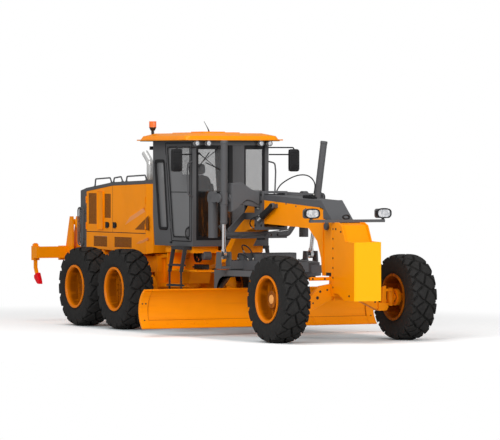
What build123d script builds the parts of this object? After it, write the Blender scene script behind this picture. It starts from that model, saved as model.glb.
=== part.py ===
from build123d import *
import os
from math import atan2, cos, degrees, hypot, pi, radians, sin

# Motor grader, millimetres. +X forward, +Y left, +Z up, ground at z = 0.
# The origin lies on the ground below the middle of the whole machine.

# Wheels
WHEEL_X = {"front": 4200, "middle": -1190, "rear": -2730}
TRACK = 2228
TYRE_R = 669
TYRE_W = 445
RIM_R = 365
RIM_HALF_W = 219
BEAD_R = 343
FIT = 0.3
AXLE_Z = TYRE_R
TANDEM_X = (WHEEL_X["middle"] + WHEEL_X["rear"]) / 2
WHEEL_Y = TRACK / 2

# Rear frame and hinge between the frames
HINGE_X = -1010
HINGE_PIN_R = 55
HINGE_TOP = 1235
HINGE_LOW = 690
EAR_T = 60
RAIL_Y = 400
RAIL_W = 90
RAIL_LOW = 930
RAIL_TOP = 1200
FRAME_REAR = -4000
AXLE_SEAT_Z = 870

# Hood
HOOD_REAR = -4030
HOOD_POST = -3790
HOOD_KINK = -2745
HOOD_FRONT = -1360
HOOD_HALF_W = 600
HOOD_T = 36
HOOD_LOW_REAR = 1310
HOOD_LOW_FRONT = 1235
HOOD_TOP = {"rear": 2286, "post": 2334, "kink": 2437, "front": 2474}
BAND = 62
DOOR_SILL = 1580
DOOR_GAP = 6
HOOD_CHAMFER = 90
HOOD_DOOR_FRONT = -1475
HOOD_HINGE_Z = (1680, 2130)
EXHAUST = (-1870, -320)
EXHAUST_BOSS = 14

# Front frame (gooseneck)
NECK_HALF_W = 190
COVER_T = 60
NOSE_FRONT = 4280
BALL_X = 3800
BALL_Z = 1100

# Cab
CAB_FRONT = 470
CAB_REAR_TOP = -1110
CAB_REAR_LOW = -930
CAB_HALF_W = 700
CAB_LOW = 1400
CAB_TOP = 3130
CAB_WAIST = 2800
CAB_T = 50
CAB_CHAMFER = 130
FLOOR_T = 85
DOOR_T = 38
GLASS_T = 10
CAB_DOOR = {"top_rear": -520, "low_rear": -290, "front": 420, "low": 1490, "top": 3080}

# Roof
ROOF_REAR, ROOF_FRONT = -1190, 570
ROOF_HALF_W = 880
ROOF_TOP = 3250
BEACON = (-1100, -650)
BEACON_SEAT = 3235

# Blade group
CIRCLE_X = 1940
CIRCLE_R = 765
CIRCLE_IN_R = 610
CIRCLE_LOW = 960
CIRCLE_TOP = 1050
BLADE_L = 4270
BLADE_EDGE_X = 1540
BLADE_EDGE_Z = 125
BLADE_TOP_X = 1620
BLADE_TOP_Z = 755
BLADE_DEPTH = 165
BLADE_T = 24
PITCH_X = 1255
PITCH_Z = 300
ARM_Y = 560

# Lift cylinders
LIFT_TOP = (1980, 906, 3110)
LIFT_PIVOT = (1860, 848, 2200)
LIFT_EYE = (1740, 790, 1290)
LIFT_BARREL_R = 55
LIFT_ROD_R = 30

# Front axle
KING_Y = 860
LEAN_Y = 730
LEAN_Z = 520
STEER_Z = AXLE_Z

# Ripper
RIP_BEAM_X = -4810
RIP_ARM_X = -4080
RIP_ARM_Z = 800
RIP_PIN_X = -4640
RIP_PIN_Z = 1120
RIP_LINK_RISE = 620
RIP_EYE = (-4300, 925)
RIP_HEAD = (-4085, 1420)
RIP_ARM_Y = 420

SIDES = {"left": 1, "right": -1}


def block(x, y, z):
    """A box between two limits on each axis."""
    size = [b - a for a, b in (x, y, z)]
    mid = [(a + b) / 2 for a, b in (x, y, z)]
    return Pos(*mid) * Box(*size)


def plate(points, low, high, along="y"):
    """A polygon in the plane across one axis, as thick as from low to high."""
    place = {
        "x": lambda a, b: (low, a, b),
        "y": lambda a, b: (a, low, b),
        "z": lambda a, b: (a, b, low),
    }[along]
    way = {"x": (1, 0, 0), "y": (0, 1, 0), "z": (0, 0, 1)}[along]
    outline = Polyline(*[place(a, b) for a, b in points], close=True)
    return extrude(make_face(outline), amount=high - low, dir=way)


def rod(start, end, radius):
    """A round bar from one point to another."""
    way = Vector(*end) - Vector(*start)
    turn = Plane(origin=start, z_dir=way)
    return turn * Cylinder(radius, way.length, align=(Align.CENTER, Align.CENTER, Align.MIN))


def across(x, z, radius, low, high):
    """A round bar along Y."""
    return rod((x, low, z), (x, high, z), radius)


def upright(x, y, radius, low, high):
    """A round bar along Z."""
    return rod((x, y, low), (x, y, high), radius)


def bent_tube(points, radius, corner):
    """A tube of straight runs with rounded corners."""
    path = FilletPolyline(*points, radius=corner)
    start = Plane(origin=path @ 0, z_dir=path % 0)
    return sweep(start * Circle(radius), path)


def mirrored(shape):
    return mirror(shape, Plane.XZ)


def both(shape):
    """The shape and its mirror image on the other side of the machine."""
    return shape + mirrored(shape)


def lerp(a, b, t):
    return tuple(p + (q - p) * t for p, q in zip(a, b))


def beam(start, end, width, height, low_drop=0):
    """A box bar between two points in XZ, its centre line level with the points."""
    (x0, z0), (x1, z1) = start, end
    length = hypot(x1 - x0, z1 - z0)
    nx, nz = -(z1 - z0) / length * height / 2, (x1 - x0) / length * height / 2
    corners = [(x0 + nx, z0 + nz), (x1 + nx, z1 + nz), (x1 - nx, z1 - nz), (x0 - nx, z0 - nz)]
    return plate(corners, -width / 2, width / 2)


# Door hinges: the half on the door carries the pin

KNUCKLE_R = 7
KNUCKLE_PIN_R = 4
KNUCKLE_OUT = KNUCKLE_R + 0.5
LEAF_L = 28


def hinge_half(x, z, wall_y, axis, leaf, moving):
    """One half of a hinge outside a wall on the left: axis along it, leaf towards the door."""
    where = Plane(origin=(x, wall_y + KNUCKLE_OUT, z), x_dir=leaf, z_dir=axis)
    inward = -1 if where.y_dir.Y > 0 else 1
    leaf_y = sorted((inward * 4.5, inward * (KNUCKLE_OUT + 4)))
    leaf_x = (0, LEAF_L) if moving else (-LEAF_L, 0)
    half = None
    for low, high in ((-60, -20.3), (20.3, 60)) if moving else ((-20, 20),):
        knuckle = upright(0, 0, KNUCKLE_R, low, high) + block(leaf_x, leaf_y, (low, high))
        half = knuckle if half is None else half + knuckle
    if moving:
        half += upright(0, 0, KNUCKLE_PIN_R, -60, 60)
    else:
        half -= upright(0, 0, KNUCKLE_PIN_R + 0.05, -30, 30)
    return where * half


# Wheels: a deep dished rim and a tyre that seats on its barrel

def rim(hub_out, disc_at):
    profile = [
        (-RIM_HALF_W, 328), (-RIM_HALF_W, RIM_R), (-RIM_HALF_W + 16, RIM_R),
        (-RIM_HALF_W + 24, BEAD_R), (RIM_HALF_W - 24, BEAD_R), (RIM_HALF_W - 16, RIM_R),
        (RIM_HALF_W, RIM_R), (RIM_HALF_W, 334), (RIM_HALF_W - 18, 322), (disc_at, 316),
        (disc_at, 150), (hub_out, 135), (hub_out, 0), (disc_at - 28, 0), (disc_at - 28, 312),
        (-RIM_HALF_W + 30, 318),
    ]
    outline = Polyline(*[(r, s, 0) for s, r in profile], close=True)
    return revolve(make_face(outline), Axis.Y)


def tyre():
    bead, wall = RIM_HALF_W - 27, TYRE_W / 2
    half = [(bead, BEAD_R + FIT), (bead + 2, 372), (wall - 4, 420), (wall, 500),
            (wall - 8, 590), (wall - 34, 655), (wall - 60, TYRE_R)]
    profile = half + [(-s, r) for s, r in reversed(half)]
    outline = Polyline(*[(r, s, 0) for s, r in profile], close=True)
    return revolve(make_face(outline), Axis.Y)


def wheel_places():
    for row, x in WHEEL_X.items():
        for side, sign in SIDES.items():
            yield f"{row}_{side}", x, sign


def place_wheel(shape, x, sign):
    turned = shape if sign > 0 else Rot(0, 0, 180) * shape
    return Pos(x, sign * WHEEL_Y, AXLE_Z) * turned


# Rear frame: two rails, cross members and the twin ears of the frame hinge

EAR_REACH = 120
TANDEM_HALF_L = 1010
CASE_IN, CASE_OUT = 630, 862


def rear_frame():
    rails = both(block((FRAME_REAR, HINGE_X - 420), (RAIL_Y - RAIL_W, RAIL_Y), (RAIL_LOW, RAIL_TOP)))
    cross = [block((x - 60, x + 60), (-RAIL_Y + RAIL_W, RAIL_Y - RAIL_W), (RAIL_LOW, RAIL_TOP - 40))
             for x in (FRAME_REAR + 60, -3200, -2450, -1560)]
    neck_plan = [(HINGE_X - 520, RAIL_Y), (HINGE_X - 300, 260), (HINGE_X, EAR_REACH + 20),
                 (HINGE_X, -EAR_REACH - 20), (HINGE_X - 300, -260), (HINGE_X - 520, -RAIL_Y)]
    ears = [plate(neck_plan, z, z + EAR_T, "z") + upright(HINGE_X, 0, EAR_REACH + 20, z, z + EAR_T)
            for z in (HINGE_LOW, HINGE_TOP - EAR_T)]
    web = block((HINGE_X - 520, HINGE_X - 440), (-RAIL_Y, RAIL_Y), (HINGE_LOW, HINGE_TOP))
    cheeks = both(plate([(HINGE_X - 560, HINGE_LOW), (HINGE_X - 440, HINGE_LOW),
                         (HINGE_X - 300, HINGE_TOP - EAR_T), (HINGE_X - 560, HINGE_TOP)], 225, 255))
    saddles = both(block((TANDEM_X - 190, TANDEM_X + 190), (RAIL_Y - RAIL_W, RAIL_Y), (AXLE_SEAT_Z, RAIL_LOW)))
    tail = block((FRAME_REAR - 30, FRAME_REAR), (-520, 520), (1000, HOOD_LOW_REAR - 1.2))
    wall = HOOD_HALF_W - HOOD_T - FIT
    for x in (-3200, -1900):
        tail += both(block((x - 50, x + 50), (RAIL_Y - 10, wall), (RAIL_TOP - 70, 1325)))
    tail += both(ripper_ears()) + ripper_head()
    pin_hole = upright(HINGE_X, 0, HINGE_PIN_R, HINGE_LOW - 10, HINGE_TOP + 10)
    body = rails + cross + ears + web + cheeks + saddles + tail
    return body - pin_hole


def tandem_axle():
    tube = across(TANDEM_X, AXLE_Z + 40, 150, -CASE_IN - 20, CASE_IN + 20)
    gear = Pos(TANDEM_X, 0, AXLE_Z + 40) * Sphere(255)
    case = block((TANDEM_X - TANDEM_HALF_L + 230, TANDEM_X + TANDEM_HALF_L - 230),
                 (CASE_IN, CASE_OUT), (AXLE_Z - 210, AXLE_Z + 230))
    spindles = None
    for x in (WHEEL_X["middle"], WHEEL_X["rear"]):
        case += across(x, AXLE_Z + 10, 220, CASE_IN, CASE_OUT)
        hub = across(x, AXLE_Z, 95, CASE_OUT - 5, WHEEL_Y + 12 - FIT)
        spindles = hub if spindles is None else spindles + hub
    seat = block((TANDEM_X - 180, TANDEM_X + 180), (RAIL_Y - RAIL_W, RAIL_Y), (AXLE_Z, AXLE_SEAT_Z))
    return tube + gear + both(case + spindles + seat)


# Hood: folded sheet panels with two doors on each side, open below

def hood_top_at(x):
    marks = [(HOOD_REAR, HOOD_TOP["rear"]), (HOOD_POST, HOOD_TOP["post"]),
             (HOOD_KINK, HOOD_TOP["kink"]), (HOOD_FRONT, HOOD_TOP["front"])]
    for (x0, z0), (x1, z1) in zip(marks, marks[1:]):
        if x <= x1:
            return z0 + (z1 - z0) * (x - x0) / (x1 - x0)
    return marks[-1][1]


def hood_door_outline(front, grow=0):
    """Corners of one side door, larger by grow all round."""
    x0, x1 = (HOOD_KINK, HOOD_DOOR_FRONT) if front else (HOOD_POST, HOOD_KINK)
    x0, x1 = x0 + DOOR_GAP / 2 - grow, x1 - DOOR_GAP / 2 + grow
    return [(x0, DOOR_SILL - grow), (x1, DOOR_SILL - grow),
            (x1, hood_top_at(x1) - BAND + grow), (x0, hood_top_at(x0) - BAND + grow)]


# x from, x to, z from, z to of the louvred openings
DOOR_GRILLES = {
    False: [(-3706, -3386, 1713, 2244), (-3067, -2820, 1824, 2237)],
    True: [],
}
LOW_GRILLES = [(-3502, -2967, 1330, 1508), (-2678, -2007, 1330, 1505)]
LOUVRE_PITCH = 52
LOUVRE_H = 20


def louvres(x0, x1, z0, z1, y0, y1):
    """Level slats across an opening."""
    count = int((z1 - z0) / LOUVRE_PITCH)
    slats = []
    for i in range(count):
        z = z0 + (z1 - z0) * (i + 0.5) / count
        slats.append(block((x0 - 4, x1 + 4), (y0, y1), (z - LOUVRE_H / 2, z + LOUVRE_H / 2)))
    return slats


def hood_hinges(front, moving):
    """The two hinges of a left side door: rear doors hang at their rear edge, front doors at the front."""
    x, leaf = (HOOD_DOOR_FRONT, (-1, 0, 0)) if front else (HOOD_POST, (1, 0, 0))
    return [hinge_half(x, z, HOOD_HALF_W, (0, 0, 1), leaf, moving) for z in HOOD_HINGE_Z]


def hood_shell():
    w, t = HOOD_HALF_W, HOOD_T
    outer = [(HOOD_REAR, HOOD_LOW_REAR), (HOOD_REAR, HOOD_TOP["rear"]), (HOOD_POST, HOOD_TOP["post"]),
             (HOOD_KINK, HOOD_TOP["kink"]), (HOOD_FRONT, HOOD_TOP["front"]),
             (HOOD_FRONT, HOOD_LOW_FRONT + 20), (HOOD_FRONT - 120, HOOD_LOW_FRONT)]
    inner = [(HOOD_REAR + t, HOOD_LOW_REAR - 200), (HOOD_REAR + t, HOOD_TOP["rear"] - t),
             (HOOD_POST, HOOD_TOP["post"] - t), (HOOD_KINK, HOOD_TOP["kink"] - t),
             (HOOD_FRONT - t, HOOD_TOP["front"] - t), (HOOD_FRONT - t, HOOD_LOW_FRONT - 200)]
    body = plate(outer, -w, w)
    upright_edges = body.edges().filter_by(Axis.Z).sort_by(Axis.X)[-2:]
    body = chamfer(upright_edges, HOOD_CHAMFER)
    hollow = plate(inner, -w + t, w - t)
    hollow_edges = hollow.edges().filter_by(Axis.Z).sort_by(Axis.X)[-2:]
    hollow = chamfer(hollow_edges, HOOD_CHAMFER)
    body -= hollow
    for front in (False, True):
        body -= plate(hood_door_outline(front, DOOR_GAP / 2 + 2), -w - 5, w + 5)
        for half in hood_hinges(front, False):
            body += both(half)
    for x0, x1, z0, z1 in LOW_GRILLES:
        body -= block((x0, x1), (-w - 5, w + 5), (z0, z1))
        for side in (-1, 1):
            y0, y1 = sorted((side * (w - t), side * (w - 8)))
            for slat in louvres(x0, x1, z0, z1, y0, y1):
                body += slat
    boss_top = hood_top_at(EXHAUST[0]) + EXHAUST_BOSS
    body += upright(*EXHAUST, 95, boss_top - 40, boss_top)
    body -= block((HOOD_REAR - 5, HOOD_REAR + t + 5), (-430, 430), (1480, 2160))
    for i in range(13):
        z = 1480 + 680 * (i + 0.5) / 13
        body += block((HOOD_REAR + 8, HOOD_REAR + t - 4), (-434, 434), (z - 8, z + 8))
    return body


def hood_door(front, sign):
    w, t = HOOD_HALF_W, HOOD_T
    door = plate(hood_door_outline(front), w - t, w)
    for x0, x1, z0, z1 in DOOR_GRILLES[front]:
        door -= block((x0, x1), (w - t - 5, w + 5), (z0, z1))
        for slat in louvres(x0, x1, z0, z1, w - t, w - 8):
            door += slat
    for half in hood_hinges(front, True):
        door += half
    return door if sign > 0 else mirrored(door)


def engine_block():
    return block((-3500, -2150), (-330, 330), (RAIL_TOP + FIT, 2050))


def exhaust_stack():
    x, y = EXHAUST
    low = hood_top_at(x) + EXHAUST_BOSS + FIT
    stack = bent_tube([(x, y, low), (x, y, 2780), (x - 190, y, 2930)], 58, 120)
    return stack + upright(x, y, 78, low, low + 26)


# x from, x to, height of the three loops on each edge of the hood top
TOP_RAILS = [(-3560, -2900, 2510), (-2820, -2470, 2530), (-2320, -1540, 2557)]
RAIL_R = 13
RAIL_FOOT_R = 22


def hood_rails():
    pieces = []
    for x0, x1, top in TOP_RAILS:
        z0, z1 = [hood_top_at(x + RAIL_FOOT_R) + FIT for x in (x0, x1)]
        loop = bent_tube([(x0, 545, z0 + 8), (x0 + 25, 545, top - 22), (x1 - 60, 545, top),
                          (x1, 545, z1 + 9)], RAIL_R, 28)
        feet = upright(x0, 545, RAIL_FOOT_R, z0, z0 + 13) + upright(x1, 545, RAIL_FOOT_R, z1, z1 + 15)
        pieces.append(loop + feet)
    grab_y = HOOD_HALF_W - 25
    start = HOOD_REAR - FIT
    pieces.append(bent_tube([(start, grab_y, 1990), (start - 85, grab_y, 1990),
                             (start - 85, grab_y, 1370), (start, grab_y, 1370)], RAIL_R, 40))
    rails = pieces[0]
    for piece in pieces[1:]:
        rails += piece
    return both(rails)


# Front frame: hinge block, backbone under the cab, gooseneck and nose

def front_frame():
    ear_low, ear_top = HINGE_LOW + EAR_T + 8, HINGE_TOP - EAR_T - 8
    ring = upright(HINGE_X, 0, EAR_REACH, ear_low, ear_top)
    spine = plate([(HINGE_X + 20, ear_low), (HINGE_X + 20, ear_top), (HINGE_X + 330, ear_top),
                   (HINGE_X + 430, 1330), (620, 1330), (1560, 2186), (3814, 2066), (3838, 2040),
                   (3930, 2030), (3930, 1010), (3900, 1010), (3863, 1283), (3740, 1542),
                   (3467, 1740), (1966, 1791), (1080, 1600), (640, 1150), (HINGE_X + 430, 1000),
                   (HINGE_X + 330, ear_low)], -NECK_HALF_W, NECK_HALF_W)
    spine -= plate([(HINGE_X - 40, ear_low - 5), (HINGE_X - 40, ear_top + 5), (HINGE_X + 60, ear_top + 5),
                    (HINGE_X + 60, ear_low - 5)], -NECK_HALF_W - 5, -EAR_REACH)
    spine -= plate([(HINGE_X - 40, ear_low - 5), (HINGE_X - 40, ear_top + 5), (HINGE_X + 60, ear_top + 5),
                    (HINGE_X + 60, ear_low - 5)], EAR_REACH, NECK_HALF_W + 5)
    nose = plate([(3930, 1010), (3930, 1890), (NOSE_FRONT, 1840), (NOSE_FRONT, 1010)], -185, 185)
    feet = both(block((-640, 380), (NECK_HALF_W, 640), (1290, 1400 - FIT)))
    pin = upright(HINGE_X, 0, HINGE_PIN_R - 0.05, HINGE_LOW - 25, HINGE_TOP + 25)
    hanger = block((4050, 4110), (-150, 150), (700, 1010))
    fork = both(block((BALL_X - 60, 3905), (62, 92), (BALL_Z - 65, BALL_Z + 65)))
    ball_pin = across(BALL_X, BALL_Z, 32, -92, 92)
    axle_pin = rod((4050, 0, AXLE_PIN_Z), (NOSE_FRONT, 0, AXLE_PIN_Z), 45)
    return ring + spine + nose + feet + pin + hanger + fork + ball_pin + axle_pin


AXLE_PIN_Z = 790


def frame_cover():
    w = NECK_HALF_W
    top = plate([(1600, 2186 + FIT), (1600, 2266), (3838, 2174), (3838, 2066 + FIT)], -w, w)
    slope = plate([(3838, 2180), (3860, 2180), (4200, 1885), (4200, 1845 + 10), (3930, 1895 + 8),
                   (3930, 2050), (3838, 2070)], -w, w)
    return top + slope


def push_block():
    x0, x1 = NOSE_FRONT + FIT, 5000
    flange = block((x0, 4330), (-240, 240), (700, 1840))
    body = plate([(4330, 790), (4330, 1840), (4560, 1800), (4700, 1545), (x1, 1545), (x1, 645),
                  (4700, 645), (4480, 790)], -215, 215)
    return flange + body


# Cab: hollow, with its windows and doorways cut

def cab_outline(inset):
    return [(CAB_REAR_LOW + inset, CAB_LOW + inset), (CAB_FRONT - inset, CAB_LOW + inset),
            (CAB_FRONT - inset, CAB_TOP - inset), (CAB_REAR_TOP + inset, CAB_TOP - inset),
            (CAB_REAR_TOP + inset, CAB_WAIST)]


def cab_body(inset):
    solid = plate(cab_outline(inset), -CAB_HALF_W + inset, CAB_HALF_W - inset)
    cut = CAB_CHAMFER + 40
    for side in (-1, 1):
        wedge = plate([(CAB_REAR_TOP - 50, side * (CAB_HALF_W - CAB_CHAMFER - 50)),
                       (CAB_REAR_TOP - 50, side * (CAB_HALF_W + 50)),
                       (CAB_REAR_TOP + cut, side * (CAB_HALF_W + 50)),
                       (CAB_REAR_TOP + cut - 50, side * CAB_HALF_W)], CAB_LOW - 10, CAB_TOP + 10, "z")
        solid -= Pos(inset * 0.7, -side * inset * 0.7, 0) * wedge
    return solid


QUARTER_WINDOW = [(-905, 2795), (-570, 2795), (-440, 1680), (-740, 1680)]
FRONT_WINDOW = (-635, 635, 1500, 3050)
REAR_WINDOW = (-520, 520, 1850, 3020)


def cab_door_outline(grow=0):
    d = CAB_DOOR
    return [(d["top_rear"] - grow, d["top"] + grow), (d["low_rear"] - grow, d["low"] - grow),
            (d["front"] + grow, d["low"] - grow), (d["front"] + grow, d["top"] + grow)]


CAB_HINGE_SHARE = (0.16, 0.84)
CAB_DOOR_GAP = 9


def cab_hinges(moving):
    """The hinges of the left cab door, along its slanted rear edge."""
    d = CAB_DOOR
    lean, rise = d["top_rear"] - d["low_rear"], d["top"] - d["low"]
    length = hypot(lean, rise)
    axis, leaf = (lean / length, 0, rise / length), (rise / length, 0, -lean / length)
    spots = [(d["low_rear"] + lean * t, d["low"] + rise * t) for t in CAB_HINGE_SHARE]
    return [hinge_half(x, z, CAB_HALF_W, axis, leaf, moving) for x, z in spots]


def cab_shell():
    w = CAB_HALF_W
    shell = cab_body(0) - cab_body(CAB_T)
    shell += block((CAB_REAR_LOW + 60, CAB_FRONT - 20), (-w + 20, w - 20), (CAB_LOW, CAB_LOW + FLOOR_T))
    y0, y1, z0, z1 = FRONT_WINDOW
    shell -= block((CAB_FRONT - CAB_T - 5, CAB_FRONT + 5), (y0, y1), (z0, z1))
    y0, y1, z0, z1 = REAR_WINDOW
    shell -= block((CAB_REAR_TOP - 60, CAB_REAR_TOP + 250), (y0, y1), (z0, z1))
    for side in (-1, 1):
        low, high = sorted((side * (w - CAB_T - 5), side * (w + 5)))
        shell -= plate(QUARTER_WINDOW, low, high)
        shell -= plate(cab_door_outline(CAB_DOOR_GAP), low, high)
    for half in cab_hinges(False):
        shell += both(half)
    return shell


def inset_polygon(points, inset):
    """Move each corner towards the middle of the polygon."""
    cx = sum(p[0] for p in points) / len(points)
    cz = sum(p[1] for p in points) / len(points)
    moved = []
    for x, z in points:
        moved.append((x + inset * (1 if x < cx else -1), z + inset * (1 if z < cz else -1)))
    return moved


def cab_glass():
    y0, y1, z0, z1 = FRONT_WINDOW
    panes = block((CAB_FRONT - 32, CAB_FRONT - 32 + GLASS_T), (y0 + FIT, y1 - FIT), (z0 + FIT, z1 - FIT))
    y0, y1, z0, z1 = REAR_WINDOW
    slope = (CAB_REAR_LOW - CAB_REAR_TOP) / (CAB_WAIST - CAB_LOW)

    def rear_x(z):
        return CAB_REAR_TOP + max(0, CAB_WAIST - z) * slope + 20

    outline = [(rear_x(z), z) for z in (z0 + FIT, CAB_WAIST, z1 - FIT)]
    outline += [(x + GLASS_T, z) for x, z in reversed(outline)]
    panes += plate(outline, y0 + FIT, y1 - FIT)
    side = plate(inset_polygon(QUARTER_WINDOW, FIT), CAB_HALF_W - 30, CAB_HALF_W - 30 + GLASS_T)
    return panes + both(side)


CAB_DOOR_RIM = 45


def cab_door(sign):
    w = CAB_HALF_W
    frame = plate(cab_door_outline(), w - DOOR_T, w)
    frame -= plate(inset_polygon(cab_door_outline(), CAB_DOOR_RIM), w - DOOR_T - 5, w + 5)
    handle = bent_tube([(310, w, 1530), (310, w + 40, 1530), (310, w + 40, 1700), (310, w, 1700)], 9, 15)
    strip = block((280, 376), (w - DOOR_T, w), (1500, 1730))
    door = frame + strip + handle
    for half in cab_hinges(True):
        door += half
    return door if sign > 0 else mirrored(door)


def door_glass(sign):
    w = CAB_HALF_W
    opening = inset_polygon(cab_door_outline(), CAB_DOOR_RIM + FIT)
    pane = plate(opening, w - 24, w - 24 + GLASS_T)
    pane -= block((280 - FIT, 400), (w - DOOR_T, w), (1480, 1730 + FIT))
    return pane if sign > 0 else mirrored(pane)


def cab_roof():
    base = Pos((ROOF_REAR + ROOF_FRONT) / 2, 0, CAB_TOP + FIT) * RectangleRounded(
        ROOF_FRONT - ROOF_REAR, 2 * ROOF_HALF_W, 90)
    brow = Pos((ROOF_REAR + ROOF_FRONT) / 2, 0, CAB_TOP + 75) * RectangleRounded(
        ROOF_FRONT - ROOF_REAR - 90, 2 * ROOF_HALF_W - 90, 80)
    crown = Pos((ROOF_REAR + ROOF_FRONT) / 2 - 30, 0, ROOF_TOP) * RectangleRounded(
        ROOF_FRONT - ROOF_REAR - 420, 2 * ROOF_HALF_W - 420, 60)
    roof = loft([base, brow], ruled=True) + loft([brow, crown], ruled=True)
    hatch = block((-1000, 150), (-330, 330), (ROOF_TOP - 12, ROOF_TOP + 16))
    x, y = BEACON
    return roof + hatch + upright(x, y, 45, ROOF_TOP - 60, BEACON_SEAT)


def operator_station():
    floor = CAB_LOW + FLOOR_T + FIT
    mat = block((-780, 400), (-560, 560), (floor, floor + 14))
    pedestal = block((-620, -260), (-200, 200), (floor, 1750))
    cushion = block((-680, -180), (-250, 250), (1750, 1890))
    back = plate([(-700, 1890), (-560, 1890), (-680, 2560), (-790, 2560)], -240, 240)
    arms = both(block((-640, -260), (270, 330), (1980, 2040)) + block((-560, -500), (245, 330), (1860, 1980)))
    column = beam((130, floor + 60), (20, 2130), 110, 110)
    column += block((60, 210), (-80, 80), (floor, floor + 95))
    dash = block((0, 190), (-170, 170), (1990, 2120))
    wheel = Pos(-60, 0, 2190) * Rot(0, -28, 0) * Torus(190, 16)
    spokes = Pos(-60, 0, 2185) * Rot(0, -28, 0) * Box(370, 40, 18)
    post = rod((20, 0, 2060), (-60, 0, 2185), 32)
    return mat + pedestal + cushion + back + arms + column + dash + wheel + spokes + post


# Steps, mirrors, lamps

STEP_X = (-120, 300)


def ladders():
    x0, x1 = STEP_X
    pieces = None
    for x in (x0, x1):
        rail = plate([(780, 1395), (720, 1395), (800, 980), (850, 980)], x - 20, x + 20, "x")
        hanger = block((x - 14, x + 14), (815, 838), (440, 985))
        pieces = rail + hanger if pieces is None else pieces + rail + hanger
    for y, z in ((800, 1090), (826, 760), (826, 445)):
        pieces += block((x0, x1), (y - 60, y + 60), (z - 12, z + 12))
    pieces += block((x0 - 20, x1 + 20), (640, 790), (1345, 1400 - FIT))
    return both(pieces)


MIRROR_Y = 1080
MIRROR_X = 640
MIRROR_ARM_Z = 3015


def mirrors():
    head = block((MIRROR_X - 28, MIRROR_X + 28), (MIRROR_Y - 95, MIRROR_Y + 95), (2620, 2990))
    side = CAB_HALF_W + FIT + 11
    z = MIRROR_ARM_Z
    top = bent_tube([(CAB_FRONT - 38, side, z), (MIRROR_X, side, z), (MIRROR_X, MIRROR_Y, z),
                     (MIRROR_X, MIRROR_Y, 2980)], 11, 30)
    low = rod((CAB_FRONT - 20, side + 4, 2900), (MIRROR_X, MIRROR_Y - 60, 2900), 11)
    return both(head + top + low)


LAMP_Y = 634


def headlight_bar():
    bar = block((4330 + FIT, 4380), (-660, 660), (1840 + FIT, 1885))
    cups = None
    for y in (-LAMP_Y, LAMP_Y):
        cup = block((4310, 4390), (y - 125, y + 125), (1905, 2050))
        cup = fillet(cup.edges().filter_by(Axis.X), 40)
        stalk = block((4340, 4372), (y - 18, y + 18), (1880, 1910))
        cups = cup + stalk if cups is None else cups + cup + stalk
    return bar + cups


WORK_LIGHT_Y = (-680, -470, 500, 660)


def lamp_lenses():
    lenses = None
    for y in (-LAMP_Y, LAMP_Y):
        lens = block((4390 + FIT, 4398), (y - 108, y + 108), (1920, 2036))
        lenses = lens if lenses is None else lenses + lens
    for y in WORK_LIGHT_Y:
        lamp = rod((540, y, 3080), (600, y, 3080), 42) + block((550, 575), (y - 10, y + 10), (3100, CAB_TOP))
        lenses += lamp
    return lenses


def beacon():
    x, y = BEACON
    stem = upright(x, y, 25, BEACON_SEAT + FIT, 3300)
    cone = Pos(x, y, 3300) * Cone(35, 62, 55, align=(Align.CENTER, Align.CENTER, Align.MIN))
    lens = upright(x, y, 60, 3355, 3455)
    return stem + cone + lens


# Saddle: the yoke round the gooseneck that carries the two lift cylinders

FORK_GAP = 72
FORK_T = 26
TRUNNION_R = 32


def saddle():
    px, py, pz = LIFT_PIVOT
    w = NECK_HALF_W + FIT
    collar = block((px - 130, px + 130), (-w - 40, w + 40), (1690, 2310))
    collar -= block((px - 140, px + 140), (-w, w), (1735, 2275))
    inner, outer = py - FORK_GAP, py + FORK_GAP
    arm = plate([(w + 40, 2300), (w + 40, 2050), (inner - FORK_T, pz - 70), (inner - FORK_T, pz + 70)],
                px - 60, px + 60, "x")
    arm += block((px - 230, px - 130), (w + 40, outer + FORK_T), (pz - 70, pz + 70))
    arm += block((px - 135, px - 60), (w + 40, inner), (pz - 70, pz + 70))
    for y in (inner - FORK_T, outer):
        arm += plate([(px - 230, pz - 70), (px + 40, pz - 55), (px + 60, pz), (px + 40, pz + 55),
                      (px - 230, pz + 70)], y, y + FORK_T)
    arm -= across(px, pz, TRUNNION_R + 1, inner - FORK_T - 5, outer + FORK_T + 5)
    bottle = upright(px - 420, py - 20, 75, 1560, 2200) + across(px - 420, pz, 105, py - 60, py + 30)
    link = block((px - 420, px - 200), (py - 60, py - 20), (pz - 40, pz + 40))
    bar = block((px - 500, px - 440), (-530, 530), (1545, 1650))
    for i in range(7):
        y = -360 + 120 * i
        bar -= rod((px - 510, y, 1598), (px - 430, y, 1598), 17)
    strut = both(plate([(530, 1648), (440, 1648), (w + 10, 1900), (w + 60, 1960), (530, 1700)],
                       px - 490, px - 450, "x"))
    foot = both(block((px - 490, px - 120), (w, w + 40), (1850, 1960)))
    return collar + both(arm + bottle + link) + bar + strut + foot


def lift_axis(sign):
    return [(x, sign * y, z) for x, y, z in (LIFT_TOP, LIFT_PIVOT, LIFT_EYE)]


def lift_barrel(sign):
    top, pivot, eye = lift_axis(sign)
    end = lerp(pivot, eye, 0.45)
    barrel = rod(end, top, LIFT_BARREL_R) + rod(lerp(pivot, top, 0.1), lerp(pivot, eye, 0.1), 66)
    y = pivot[1]
    pins = across(pivot[0], pivot[2], TRUNNION_R, y - FORK_GAP - FORK_T, y + FORK_GAP + FORK_T)
    bore = rod(lerp(pivot, eye, 0.5), lerp(pivot, top, 0.94), LIFT_ROD_R + 0.05)
    return barrel + pins - bore


EYE_R = 66
EYE_HOLE_R = 50
EYE_PIN_R = 20
EYE_W = 50


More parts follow.
